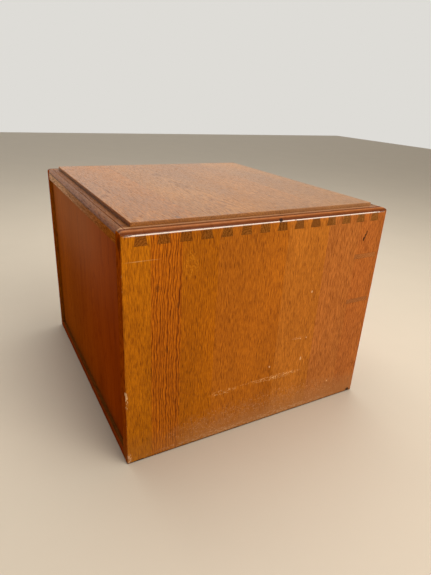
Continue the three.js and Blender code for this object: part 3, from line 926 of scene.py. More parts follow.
    def _nose(self, sheet: Sheet, place: Value) -> Value:
        """Mask of the glossy line on the rounded outer edge, broken a little by wear."""
        x, y, z = sheet.split(place)
        out_y = sheet.beyond(y, HALF_DEPTH)
        near = sheet.fade(sheet.math("MAXIMUM", sheet.beyond(x, HALF_WIDTH), out_y), -0.010, -0.007)
        worn = sheet.fade(sheet.noise(place, (90, 90, 90), 3, 0.6), 0.22, 0.38)
        handled = sheet.fade(sheet.math("ABSOLUTE", out_y), 0.002, 0.012)
        band = sheet.times(sheet.fade(z, *POLISH_FROM), sheet.fade(z, *POLISH_TO, 1.0, 0.0))
        return sheet.times(sheet.times(sheet.times(near, band), worn), handled)

    def _moulding(self, sheet: Sheet, groups: SharedGroups, place: Value, colour: Value) -> Value:
        """Painted highlight and shade bands on the ledge over the side boards, with dirt in the quirk, the
        same across pins and tails.
        """
        x, y, z = sheet.split(place)
        out = sheet.beyond(x, FIELD_HALF_WIDTH)
        grown = sheet.group(groups.growth, {
            "Pattern": sheet.joined(out, z, y), "Pith Across": 0.3, "Pith Depth": 0.05,
            "Ring Width": 0.004, "Waviness": 0.02, "Seed": 0.3}).outputs
        reach = sheet.math("DIVIDE", out, HALF_WIDTH - FIELD_HALF_WIDTH)
        # painted light: highlight and shade bands across the ledge, with dirt in the quirk
        ledge_bands = sheet.tint(sheet.ramp(reach, LEDGE_LIGHT_AND_DIRT_BANDS), sheet.ramp(grown["Fibres"], LEDGE_FIBRES))
        ledge_bands = sheet.tint(ledge_bands, LEDGE_PORE, sheet.times(grown["Pores"], 0.4))
        lit = sheet.times(sheet.fade(z, *LEDGE_BANDS_FROM), sheet.fade(sheet.facing(Axis.Z), 0.03, 0.12))
        return sheet.mix(sheet.times(sheet.fade(out, -0.0003, 0.0003), lit), colour, ledge_bands)

    def _painted_back_light(self, sheet: Sheet, place: Value, colour: Value) -> Value:
        """Paints light and shade on the faces that look back, as a tint blended from left to right."""
        left, right = self.back
        tone = sheet.mix(sheet.fade(sheet.split(place)[0], -0.3, 0.35), left, right)
        return sheet.tint(colour, tone, sheet.fade(sheet.facing(Axis.Y), 0.35, 0.9))

    def _lipping(self, sheet: Sheet, place: Value, colour: Value) -> Value:
        """Darkens the moulded ledge outside the raised field, and paints dirt and shade in the crease along
        the field's foot, heavier at the front and back.
        """
        half_x, half_y, tone = self.lipping
        x, y, z = sheet.split(place)
        out_x = sheet.beyond(x, half_x)
        out = sheet.math("MAXIMUM", out_x, sheet.beyond(y, half_y))
        colour = sheet.tint(colour, tone, sheet.fade(out, 0.0002, 0.0010))
        foot = sheet.times(sheet.fade(out, 0.0002, 0.0035, 1.0, 0.0), sheet.fade(z, 0.4885, 0.492, 1.0, 0.0))
        # dirt and painted shade in the crease at the field's foot, heavier at the front and back
        grime_and_shade = sheet.times(foot, sheet.fade(out, -0.0008, -0.0002))
        grime_and_shade = sheet.times(grime_and_shade, sheet.fade(out_x, -0.012, -0.002, 0.6, 0.1))
        return sheet.tint(colour, GRIME_AND_SHADE, grime_and_shade)


@dataclass(frozen=True)
class StainedPlyFinish:
    """Dark stained and varnished plywood of the back panel, with a painted reflection high up."""

    name: str = "stained_ply"
    near: Colour = paint(158, 62, 1)
    far: Colour = paint(172, 84, 9)
    # haze: painted reflection of the pale surroundings, strongest high up and to the right
    haze: Colour = paint(235, 150, 90)
    dust_tone: Colour = paint(120, 74, 44)
    glue_line: Colour = paint(70, 40, 22)
    ring_tone: Colour = (0.62, 0.5, 0.4)
    pore: Colour = (0.45, 0.35, 0.3)
    half_width: float = 0.304
    height: Span = (0.024, 0.461)
    ply: float = 0.0012

    def build(self, groups: SharedGroups) -> bpy.types.Material:
        """Makes the material.

        Args:
            groups: The shared shader groups.

        Returns:
            The material.
        """
        pot = Paint(self.name)
        sheet, place = pot.sheet, pot.place
        x, y, z = sheet.split(place)
        colour = sheet.mix(sheet.fade(x, -self.half_width, self.half_width), self.near, self.far)
        grown = sheet.group(groups.growth, {
            "Pattern": sheet.joined(x, y, z), "Pith Across": -0.12, "Pith Depth": 0.09,
            "Ring Width": 0.011, "Waviness": 0.05, "Seed": 0.37}).outputs
        colour = sheet.tint(colour, self.ring_tone, sheet.times(grown["Rings"], 0.22))
        streaks = sheet.noise(place, (260, 260, 5), 4, 0.6)
        fine = sheet.ramp(streaks, ((0.3, (0.84, 0.82, 0.8)), (0.7, (1.14, 1.16, 1.18))))
        cloud = sheet.ramp(grown["Cloud"], ((0.3, (0.86, 0.84, 0.82)), (0.7, (1.12, 1.14, 1.16))))
        colour = sheet.tint(sheet.tint(colour, fine), cloud)
        colour = sheet.tint(colour, self.pore, sheet.times(grown["Pores"], 0.45))
        # painted reflection high on the panel; the same mask also gives the real coat
        polish = sheet.times(sheet.math("POWER", sheet.fade(z, *self.height), 4.0),
                             sheet.fade(x, -self.half_width, 0.0, 0.25, 1.0))
        colour = sheet.mix(sheet.times(polish, 0.3), colour, self.haze)
        pot.coat(sheet.plus(sheet.times(polish, 0.09), 0.012), 0.3)
        bloom = sheet.group(groups.dust, {"Position": place, "Height": 0.055}).outputs[0]
        colour = sheet.mix(sheet.times(bloom, 0.22), colour, self.dust_tone)
        rough = sheet.plus(sheet.times(streaks, 0.12), 0.3)
        rough = sheet.plus(rough, sheet.times(bloom, 0.25))
        plies = sheet.math("FRACT", sheet.times(y, 1 / self.ply))
        edge = sheet.fade(sheet.math("ABSOLUTE", sheet.facing(Axis.Y)), 0.4, 0.6, 1.0, 0.0)
        layer = sheet.times(edge, sheet.fade(plies, 0.4, 0.5))
        colour = sheet.mix(sheet.times(layer, 0.5), colour, self.glue_line)
        return pot.wire(colour, rough, sheet.minus(streaks, grown["Pores"]), 0.00006, 0.0)


@dataclass(frozen=True)
class DrawerPlyFinish:
    """Unfinished birch plywood of the drawer bottoms, with its plies on the edges."""

    name: str = "drawer_floor_ply"
    face: Colour = paint(205, 172, 124)
    rings: Colour = paint(186, 146, 96)
    core: Colour = paint(158, 116, 72)
    ply: float = 0.00125

    def build(self, groups: SharedGroups) -> bpy.types.Material:
        """Makes the material.

        Args:
            groups: The shared shader groups.

        Returns:
            The material.
        """
        pot = Paint(self.name)
        sheet = pot.sheet
        x, y, z = sheet.split(pot.place)
        grown = sheet.group(groups.growth, {
            "Pattern": sheet.joined(y, z, x), "Pith Across": 0.02, "Pith Depth": 0.16,
            "Ring Width": 0.012, "Waviness": 0.09, "Seed": 0.81}).outputs
        colour = sheet.mix(sheet.times(grown["Rings"], 0.3), self.face, self.rings)
        cloud = sheet.ramp(grown["Cloud"], ((0.3, (0.88, 0.86, 0.82)), (0.7, (1.06, 1.06, 1.05))))
        fine = sheet.ramp(grown["Fibres"], ((0.3, (0.92, 0.9, 0.87)), (0.7, (1.05, 1.06, 1.06))))
        colour = sheet.tint(sheet.tint(colour, cloud), fine)
        edge = sheet.fade(sheet.math("ABSOLUTE", sheet.facing(Axis.Z)), 0.4, 0.6, 1.0, 0.0)
        layers = sheet.fade(sheet.math("FRACT", sheet.times(z, 0.5 / self.ply)), 0.45, 0.55)
        colour = sheet.mix(sheet.times(edge, layers), colour, self.core)
        rough = sheet.plus(sheet.times(grown["Cloud"], 0.15), 0.55)
        return pot.wire(colour, rough, grown["Fibres"], 0.0001, 0.3)


@dataclass(frozen=True)
class SteelFinish:
    """Dulled zinc plating of the runner screws."""

    name: str = "zinc_steel"
    bright: Colour = paint(176, 174, 168)
    dull: Colour = paint(122, 118, 110)
    rust: Colour = paint(112, 72, 44)

    def build(self, groups: SharedGroups) -> bpy.types.Material:
        """Makes the material.

        Args:
            groups: The shared shader groups; not used.

        Returns:
            The material.
        """
        pot = Paint(self.name)
        sheet, place = pot.sheet, pot.place
        bloom = sheet.noise(place, (900, 900, 900), 4, 0.65)
        scratches = sheet.noise(place, (400, 5200, 5200), 2, 0.6)
        colour = sheet.mix(sheet.fade(bloom, 0.35, 0.65), self.bright, self.dull)
        rust = sheet.times(sheet.fade(sheet.noise(place, (420, 420, 420), 3, 0.7), 0.6, 0.7), 0.5)
        colour = sheet.mix(rust, colour, self.rust)
        sheet.feed(pot.shader.inputs["Metallic"], sheet.minus(1.0, rust))
        rough = sheet.plus(sheet.times(bloom, 0.3), 0.25)
        return pot.wire(colour, rough, scratches, 0.00004, 0.5)


# ---- pieces ------------------------------------------------------------------------------------


def spans(node: str) -> tuple[Span, Span, Span]:
    """Extents of a CAD piece along X, Y and Z."""
    low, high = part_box(node)
    return (low[0], high[0]), (low[1], high[1]), (low[2], high[2])


def centre_of(node: str) -> Vector:
    """Middle of a CAD piece."""
    return Vector([sum(span) / 2 for span in spans(node)])


def row_from(first: Workpiece, name: str, nodes: list[str]) -> list[Workpiece]:
    """A first piece and its copies at the places of the other CAD pieces of a row.

    Args:
        first: The piece made for the first node.
        name: First part of the copies' names.
        nodes: Every CAD piece of the row, the first one too.

    Returns:
        One piece for each node, in their order.
    """
    home = centre_of(nodes[0])
    return [first, *first.copies(name, [centre_of(node) - home for node in nodes[1:]])]


Facing = Callable[[Vector, Vector], bool]


def settle(
    work: Workpiece, material: bpy.types.Material, node: str, slot: str, body: str,
    *edgings: tuple[bpy.types.Material, Facing],
) -> None:
    """Finishes a piece, dresses it and puts it in the place of its CAD piece.

    Args:
        work: The shaped piece.
        material: Its finish.
        node: The CAD piece that it stands for.
        slot: Material slot of the record; not used.
        body: Body that it moves with.
        *edgings: Other finishes, each with the faces that get it by their middle and normal.
    """
    work.finish()
    work.shape.name = f"{node}_worked"
    work.shape.data.name = work.shape.name
    work.shape.data.materials.clear()
    work.shape.data.materials.append(material)
    for number, (other, wanted) in enumerate(edgings, start=1):
        work.shape.data.materials.append(other)
        for face in work.shape.data.polygons:
            if wanted(face.center, face.normal):
                face.material_index = number
    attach(work.shape, body)
    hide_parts(node)
    log.info("%s: %d faces, on %s", work.shape.name, len(work.shape.data.polygons), body)


@dataclass
class Carcass:
    """The dovetailed box: top, sides, bottom, back panel, rails, runners, stops and screws."""

    side: float = 24 * MM
    nose: float = 9 * MM
    arris: float = 3 * MM
    foot_chamfer: float = 2.6 * MM
    field_margin: float = 26 * MM
    field_ease: float = 1.2 * MM
    quirk_from_face: float = 12 * MM
    quirk_width: float = 1.4 * MM
    quirk_depth: float = 1.2 * MM
    pin_pitch: float = 41.5 * MM
    pin_count: int = 14
    pin_width: float = 24 * MM
    pin_slope: float = 0.19
    tongue: float = 10 * MM
    tongue_reach: float = 8 * MM
    tongue_stop: float = 26 * MM
    panel_reach: float = 8 * MM
    tenon: float = 10 * MM
    tenon_shoulder: float = 10 * MM
    runner_tongue: float = 6 * MM
    screws_a_side: int = 4
    screw_radius: float = 4 * MM
    screw_lengths: tuple[float, ...] = (0.4 * MM, 2 * MM, 39.6 * MM, 3 * MM)   # rim, cone, shank, point
    screw_hole: float = 2.3 * MM
    hole_length: float = 40 * MM
    slot_depth: float = 0.9 * MM
    sink_radius: float = 4.4 * MM
    sink_depth: float = 3.1 * MM
    sink_from_head: float = 1.15 * MM
    eased: float = 0.6 * MM
    body: str = "carcass"
    nose_steps: int = 12

    def __post_init__(self) -> None:
        """Reads where the boards lie."""
        self.x, self.y, (self.under, self.height) = spans("top_board")
        self.half_width = self.x[1]
        self.half_depth = self.y[1]
        self.inner = self.half_width - self.side
        self.ledge = spans("left_side_board")[2][1]
        self.bottom_top = spans("bottom_board")[2][1]

    def outer_form(self) -> Workpiece:
        """The closed outline with its nose, arrises, chamfered foot, raised field and quirk."""
        form = Workpiece.block("outer_form", self.x, self.y, (0, self.ledge))
        form.round_edges(both_at(Axis.Z, self.ledge), self.nose, self.nose_steps)
        arrised = Workpiece.block("arrised_form", self.x, self.y, (0, self.ledge + BEYOND))
        arrised.round_edges(upright, self.arris, 5)
        arrised.round_edges(both_at(Axis.Z, 0.0), self.foot_chamfer, 3)
        form.trim_to(arrised)
        x = self.half_width - self.field_margin
        y = self.half_depth - self.field_margin
        raised = Workpiece.block("raised_field", (-x, x), (-y, y), (self.ledge - MM, self.height))
        raised.round_edges(upright, self.field_ease, 3)
        raised.round_edges(both_at(Axis.Z, self.height), self.field_ease, 3)
        form.add(raised)
        return form.cut(self.quirk())

    def quirk(self) -> Workpiece:
        """Cutting block for the narrow groove round the ledge."""
        depth = (self.ledge - self.quirk_depth, self.ledge + MM)
        x = self.half_width - self.quirk_from_face
        y = self.half_depth - self.quirk_from_face
        ring = Workpiece.block("quirk", (-x, x), (-y, y), depth)
        x -= self.quirk_width
        y -= self.quirk_width
        core = Workpiece.block("quirk_core", (-x, x), (-y, y), (depth[0] - MM, depth[1] + MM))
        return ring.cut(core)

    def pins(self, side: Side, extra: float = 0.0) -> Workpiece:
        """The row of pins on one end of the top board, or the room they need.

        Args:
            side: Which end.
            extra: Widening for the sockets.

        Returns:
            All pins of that end as one tool.
        """
        low, high = self.under - extra, self.ledge + MM
        half = self.pin_width / 2 + extra
        first = -(self.pin_count - 1) / 2 * self.pin_pitch
        x = side.span(self.inner - MM, self.half_width + BEYOND)
        pin = Workpiece.block("pin", x, (first - half, first + half), (low, high))
        pin.taper(Vector((0, 0, 1)), (1, 1 - (high - low) * self.pin_slope / half, 1))
        steps = [Vector((0, number * self.pin_pitch, 0)) for number in range(1, self.pin_count)]
        return joined([pin, *pin.copies("pin", steps)])

    def panel_room(self) -> Workpiece:
        """Cutting block for the back panel and the grooves that hold it."""
        x, y, z = spans("back_panel")
        grown = [(low - HAIR, high + HAIR) for low, high in (x, y, z)]
        return Workpiece.block("panel_room", *grown)

    def tongue_block(self, side: Side, extra: float = 0.0) -> Workpiece:
        """Stopped tongue on an end of the bottom board, or the groove for it."""
        x = side.span(self.inner - MM, self.inner + self.tongue_reach - HAIR + extra)
        y = self.half_depth - self.tongue_stop + extra
        middle = (self.bottom_top - self.panel_reach) / 2
        half = self.tongue / 2 + extra
        return Workpiece.block("tongue", x, (-y, y), (middle - half, middle + half))

    def tenon_block(self, side: Side, rail: str, extra: float = 0.0) -> Workpiece:
        """Through tenon of a rail, or the mortise for it."""
        _, y, z = spans(rail)
        middle = sum(z) / 2
        half = self.tenon / 2 + extra
        x = side.span(self.inner - MM, self.half_width + (BEYOND if extra else 0.0))
        return Workpiece.block(
            "tenon", x, (y[0] + self.tenon_shoulder - extra, y[1] + extra), (middle - half, middle + half))

    def screw_nodes(self, side: Side) -> list[str]:
        """The CAD names of the screws on one side."""
        return [f"{side.word}_runner_screw_{number}" for number in range(1, self.screws_a_side + 1)]

    def screw_rooms(self, side: Side) -> list[Workpiece]:
        """Cutting rods for the screws on one side."""
        rooms = []
        for node in self.screw_nodes(side):
            x, _, _ = spans(node)
            rooms.append(Workpiece.rod(
                "screw_room", centre_of(node), self.screw_hole, x[1] - x[0] + 2 * HAIR, 16, Axis.X))
        return rooms

    def top_board(self, form: Workpiece) -> Workpiece:
        """The top board with the pins on both ends."""
        x = self.inner - HAIR
        y = self.half_depth + BEYOND
        board = Workpiece.block("top", (-x, x), (-y, y), (self.under, self.height + BEYOND))
        board.add(self.pins(Side.LEFT), self.pins(Side.RIGHT))
        return board.trim_to(form, keep=True).cut(self.panel_room())

    def side_board(self, side: Side, form: Workpiece) -> Workpiece:
        """A side board with its sockets, grooves, mortises and screw holes."""
        x = side.span(self.inner, self.half_width + BEYOND)
        y = self.half_depth + BEYOND
        board = Workpiece.block("side", x, (-y, y), (-BEYOND, self.ledge + BEYOND))
        board.trim_to(form, keep=True)
        board.cut(self.pins(side, HAIR), self.panel_room(), self.tongue_block(side, HAIR))
        board.cut(*[self.tenon_block(side, rail, HAIR) for rail in ("upper_rail", "lower_rail")])
        return board.cut(*self.screw_rooms(side))

    def bottom_board(self, form: Workpiece) -> Workpiece:
        """The bottom board with a stopped tongue on each end."""
        x = self.inner - HAIR
        y = self.half_depth + BEYOND
        board = Workpiece.block("bottom", (-x, x), (-y, y), (-BEYOND, self.bottom_top))
        board.trim_to(form, keep=True)
        board.add(self.tongue_block(Side.LEFT), self.tongue_block(Side.RIGHT))
        return board.cut(self.panel_room())

    def back_panel(self) -> Workpiece:
        """The thin panel, its hidden rim bevelled to enter the grooves."""
        x, y, z = spans("back_panel")
        panel = Workpiece.block("panel", x, y, z)
        return panel.round_edges(both_at(Axis.Y, y[0]), 1.5 * MM)

    def rail(self, node: str) -> Workpiece:
        """A rail with its two through tenons and the slots for the runners' tongues."""
        _, y, z = spans(node)
        x = self.inner - HAIR
        board = Workpiece.block("rail", (-x, x), y, z)
        board.round_edges(both_at(Axis.Y, y[0]), self.eased, 2)
        for side in Side:
            board.add(self.tenon_block(side, node))
            board.cut(self.runner_tongue_block(side, node, HAIR))
        return board

    def runner_tongue_block(self, side: Side, rail: str, extra: float = 0.0) -> Workpiece:
        """Tongue on a runner's front end, or the slot for it in the rail."""
        x, y, z = spans(f"{rail.split('_')[0]}_{side.word}_runner")
        middle = sum(z) / 2
        half = self.runner_tongue / 2 + extra
        reach = (y[0] - extra, spans(rail)[1][1] + HAIR + MM)
        return Workpiece.block(
            "runner_tongue", (x[0] - extra, x[1] + extra), reach, (middle - half, middle + half))

    def runner(self, side: Side, rail: str, screws: tuple[int, int]) -> Workpiece:
        """A runner with its tongue and its two countersunk screw holes."""
        x, y, z = spans(f"{rail.split('_')[0]}_{side.word}_runner")
        start = spans(rail)[1][1] + HAIR
        strip = Workpiece.block("runner", x, (start, y[1]), z)
        strip.round_edges(lambda a, b: abs(a.y - b.y) > 0.1, self.eased, 2)
        strip.add(self.runner_tongue_block(side, rail))
        for number in screws:
            node = f"{side.word}_runner_screw_{number}"
            _, y, z = centre_of(node)
            sink_x = self.screw_head(side, node) + side.value * self.sink_from_head
            sink = Workpiece.rod("countersink", (sink_x, y, z), self.sink_radius, self.sink_depth, 24, Axis.X)
            sink.taper(Vector((side.value, 0, 0)), (1, 0.5, 0.5))
            hole = Workpiece.rod(
                "screw_hole", (sum(x) / 2, y, z), self.screw_hole, self.hole_length, 16, Axis.X)
            strip.cut(sink, hole)
        return strip

    def stop(self, node: str) -> Workpiece:
        """A stop block with its upper edges eased."""
        x, y, z = spans(node)
        block = Workpiece.block("stop", x, y, z)
        block.round_edges(upright, 2 * MM, 3)
        return block.round_edges(both_at(Axis.Z, z[1]), 0.8 * MM, 2)

    def screw_head(self, side: Side, node: str) -> float:
        """X of the flat of a screw's head."""
        low, high = spans(node)[0]
        return low if side is Side.RIGHT else high

    def screw(self, side: Side) -> Workpiece:
        """The first countersunk screw of a side: head, slot, shank and point."""
        node = self.screw_nodes(side)[0]
        head = self.screw_head(side, node)
        out = Vector((side.value, 0, 0))
        centre = centre_of(node)
        centre.x = head
        rim, cone, shank, point = self.screw_lengths
        screw = Workpiece.rod("screw", centre + out * rim / 2, self.screw_radius, rim, 24, Axis.X)
        screw.draw_out(out, cone, 0.5)
        screw.draw_out(out, shank, 1.0)
        screw.draw_out(out, point - TOUCH, 0.06)
        screw.round_edges(both_at(Axis.X, head), 0.25 * MM, 2)
        slot = Workpiece.block(
            "slot", tuple(sorted((head - side.value * MM, head + side.value * self.slot_depth))),
            (centre.y - 10 * MM, centre.y + 10 * MM), (centre.z - 0.5 * MM, centre.z + 0.5 * MM))
        return screw.cut(slot)

    def build(self, wood: dict[str, bpy.types.Material]) -> None:
        """Makes and dresses every piece of the carcass.

        Args:
            wood: The finishes by name.
        """
        form = self.outer_form()
        edge = (wood["top_edge"], lambda middle, n: abs(n.z) < 0.2 and middle.z < self.ledge)
        ledge = (wood["top_ledge"], lambda middle, n: n.z > 0.02 and middle.z < self.ledge + TOUCH)
        shaded = (wood["top_back_nose"], lambda middle, n: n.y > 0.1 and 0.2 < n.z < 0.99)
        settle(self.top_board(form), wood["top"], "top_board", "top_oak", self.body, edge, ledge, shaded)
        for side in Side:
            node = f"{side.word}_side_board"
            back = (wood[f"{side.word}_side_edge"], lambda _, n: n.y > 0.8)
            board = self.side_board(side, form)
            settle(board, wood[f"{side.word}_side"], node, "side_oak", self.body, back)
        settle(self.bottom_board(form), wood["bottom"], "bottom_board", "bottom_oak", self.body)
        form.discard()
        settle(self.back_panel(), wood["ply"], "back_panel", "stained_ply", self.body)
        for rail in ("upper_rail", "lower_rail"):
            settle(self.rail(rail), wood["front"], rail, "front_oak", self.body)
        for side in Side:
            for rail, screws in (("upper_rail", (1, 2)), ("lower_rail", (3, 4))):
                node = f"{rail.split('_')[0]}_{side.word}_runner"
                settle(self.runner(side, rail, screws), wood["beech"], node, "runner_beech", self.body)
            for drawer in ("top", "middle", "bottom"):
                node = f"{drawer}_{side.word}_stop"
                settle(self.stop(node), wood["beech"], node, "runner_beech", self.body)
            nodes = self.screw_nodes(side)
            for node, screw in zip(nodes, row_from(self.screw(side), "screw", nodes)):
                settle(screw, wood["steel"], node, "steel", self.body)


@dataclass
class Drawer:
    """A drawer: a solid front, sides dovetailed into it, a back and a ply bottom."""

    name: str
    box: float = 14 * MM
    grip_width: float = 110 * MM
    grip_depth: float = 26 * MM
    tail_pitch: float = 28 * MM
    tail_space: float = 7 * MM
    tail_slope: float = 1 / 7
    ledges: bool = False

    def __post_init__(self) -> None:
        """Reads where the drawer's pieces lie."""
        self.body = f"{self.name}_drawer"
        self.front_x, self.front_y, self.front_z = spans(f"{self.body}_front")
        self.side_z = spans(f"{self.body}_right_side")[2]
        self.outer = spans(f"{self.body}_right_side")[0][1]
        self.end = spans(f"{self.body}_back")[1][1]
        self.floor = spans(f"{self.body}_bottom")

    def tails(self, side: Side, low: float, root: float, reach: float, grow: float, deep: float
              ) -> list[Workpiece]:
        """A column of tails at one end of a drawer side, or the sockets for them.

        Args:
            side: Which drawer side.
            low: Lower end of the column.
            root: Y of the tails' narrow end.
            reach: Y of their wide end.
            grow: Widening for sockets.
            deep: How far sockets run on past the side's outer face.

        Returns:
            One block for each tail.
        """
        high = self.side_z[1]
        count = max(2, round((high - low) / self.tail_pitch))
        pitch = (high - low) / count
        outward = 1 if reach > root else -1
        half = (pitch - self.tail_space) / 2
        narrow = half - abs(reach - root) * self.tail_slope + grow
        wide = half + grow
        y = tuple(sorted((reach + outward * grow, root - outward * MM)))
        x = side.span(self.outer - self.box - grow, self.outer + deep)
        blocks = []
        for number in range(count):
            middle = low + (number + 0.5) * pitch
            tail = Workpiece.block("tail", x, y, (middle - wide, middle + wide))
            tail.taper(Vector((0, -outward, 0)), (1, 1, narrow / wide))
            blocks.append(tail)
        return blocks

    def front_tails(self, side: Side, grow: float = 0.0) -> list[Workpiece]:
        """Tails in the front, or their half-blind sockets."""
        back = self.front_y[1]
        return self.tails(side, self.side_z[0], back, back - self.box + HAIR, grow, grow)

    def back_tails(self, side: Side, grow: float = 0.0) -> list[Workpiece]:
        """Tails in the back, above the drawer bottom, or their sockets."""
        deep = BEYOND if grow else 0.0
        return self.tails(side, self.floor[2][1], self.end - self.box, self.end, grow, deep)

    def floor_block(self, extra: float = 0.0) -> Workpiece:
        """The drawer bottom, or the room it needs."""
        grown = [(low - extra, high + extra) for low, high in self.floor]
        return Workpiece.block("drawer_floor", *grown)

    def front(self) -> Workpiece:
        """The front with its half-round grip, eased edges, sockets and groove."""
        block = Workpiece.block("front", self.front_x, self.front_y, self.front_z)
        middle = (0, sum(self.front_y) / 2, self.front_z[1])
        grip = Workpiece.rod("grip", middle, 1.0, self.front_y[1] - self.front_y[0] + BEYOND, 72, Axis.Y)
        grip.stretch((self.grip_width / 2, 1, self.grip_depth), middle)
        block.cut(grip)
        block.round_edges(both_at(Axis.Y, self.front_y[0]), 1.2 * MM, 3)
        for side in Side:
            block.cut(*self.front_tails(side, HAIR))
        return block.cut(self.floor_block(HAIR))

    def side(self, side: Side) -> Workpiece:
        """A drawer side with its tails, its heel and the groove for the bottom."""
        x = side.span(self.outer - self.box, self.outer)
        start, stop = self.front_y[1] + HAIR, self.end - self.box - HAIR
        board = Workpiece.block("drawer_side", x, (start, stop), self.side_z)
        board.round_edges(
            lambda a, b: min(a.z, b.z) > self.side_z[1] - TOUCH and abs(a.y - b.y) > 0.1, 1.2 * MM, 3)
        board.add(*self.front_tails(side), *self.back_tails(side))
        heel = Workpiece.block(
            "heel", x, (stop - MM, self.end), (self.side_z[0], self.floor[2][1]))
        return board.add(heel).cut(self.floor_block(HAIR))

    def back(self) -> Workpiece:
        """The back with its sockets, its upper edge rounded."""
        x, y, z = spans(f"{self.body}_back")
        board = Workpiece.block("drawer_back", x, y, z)
        board.round_edges(both_at(Axis.Z, z[1]), 1.0 * MM, 3)
        for side in Side:
            board.cut(*self.back_tails(side, HAIR))
        return board

    def bottom(self) -> Workpiece:
        """The ply bottom, its edges broken."""
        floor = self.floor_block()
        return floor.round_edges(lambda a, b: True, 0.4 * MM)

    def ledge(self, side: Side) -> Workpiece:
        """A ledge inside the drawer side, its upper inner edge rounded."""
        x, y, z = spans(f"tray_{side.word}_ledge")
        strip = Workpiece.block("ledge", x, y, z)
        inside = x[0] if side is Side.RIGHT else x[1]
        return strip.round_edges(
            lambda a, b: abs(a.x - inside) < TOUCH and abs(b.x - inside) < TOUCH, 1.0 * MM, 3)

    def build(self, wood: dict[str, bpy.types.Material]) -> None:
        """Makes and dresses the drawer.

        Args:
            wood: The finishes by name.
        """
        settle(self.front(), wood["front"], f"{self.body}_front", "front_oak", self.body)
        for side in Side:
            node = f"{self.body}_{side.word}_side"
            settle(self.side(side), wood["drawer"], node, "drawer_beech", self.body)
        settle(self.back(), wood["drawer_back"], f"{self.body}_back", "drawer_beech", self.body)
        settle(self.bottom(), wood["floor_ply"], f"{self.body}_bottom", "floor_ply", self.body)
        if self.ledges:
            for side in Side:
                node = f"tray_{side.word}_ledge"
                settle(self.ledge(side), wood["beech"], node, "runner_beech", self.body)


@dataclass
class ThreadTray:
    """The sliding tray: floor, walls, dividers and eight spool pegs."""

    eased: float = 0.5 * MM
    body: str = "thread_tray"
    peg_count: int = 8

    def slab(self, node: str) -> Workpiece:
        """A flat piece of the tray with every edge eased."""
        return Workpiece.block(node, *spans(node)).round_edges(lambda a, b: True, self.eased, 2)

    def divider_room(self, node: str) -> Workpiece:
        """Housing for a divider, open at the top."""
        x, y, z = spans(node)
        grown = [(low - HAIR, high + HAIR) for low, high in (x, y)]
        return Workpiece.block("housing", *grown, (z[0] - HAIR, z[1] + BEYOND))

    def floor(self) -> Workpiece:
        """The tray's floor with the holes for the pegs."""
        board = self.slab("tray_floor")
        top = spans("tray_floor")[2][1]
        for number in range(1, self.peg_count + 1):
            x, y, z = spans(f"spool_peg_{number}")
            low = z[0] - HAIR
            centre = (sum(x) / 2, sum(y) / 2, (low + top + BEYOND) / 2)
            board.cut(Workpiece.rod(
                "peg_hole", centre, (x[1] - x[0]) / 2 + HAIR, top + BEYOND - low, 24))
        return board

    def peg(self) -> Workpiece:
        """The first peg, domed at the top."""
        x, _, z = spans("spool_peg_1")
        radius = (x[1] - x[0]) / 2
        peg = Workpiece.rod("peg", centre_of("spool_peg_1"), radius, z[1] - z[0], 24)
        return peg.round_edges(both_at(Axis.Z, z[1]), radius * 0.92, 6)

    def build(self, wood: dict[str, bpy.types.Material]) -> None:
        """Makes and dresses the tray.

        Args:
            wood: The finishes by name.
        """
        settle(self.floor(), wood["birch"], "tray_floor", "tray_birch", self.body)
        for place in ("front", "back"):
            wall = self.slab(f"tray_{place}_wall")
            for side in Side:
                wall.cut(self.divider_room(f"tray_{side.word}_cross_divider"))
            settle(wall, wood["birch"], f"tray_{place}_wall", "tray_birch", self.body)
        for side in Side:
            long_room = f"tray_{side.word}_long_divider"
            end = self.slab(f"tray_{side.word}_end").cut(self.divider_room(long_room))
            settle(end, wood["birch_short"], f"tray_{side.word}_end", "tray_birch", self.body)
            cross = self.slab(f"tray_{side.word}_cross_divider").cut(self.divider_room(long_room))
            settle(cross, wood["birch_short"], f"tray_{side.word}_cross_divider", "tray_birch", self.body)
            settle(self.slab(long_room), wood["birch"], long_room, "tray_birch", self.body)
        nodes = [f"spool_peg_{number}" for number in range(1, self.peg_count + 1)]
        for node, peg in zip(nodes, row_from(self.peg(), "peg", nodes)):
            settle(peg, wood["peg"], node, "runner_beech", self.body)


# ---- studio ------------------------------------------------------------------------------------


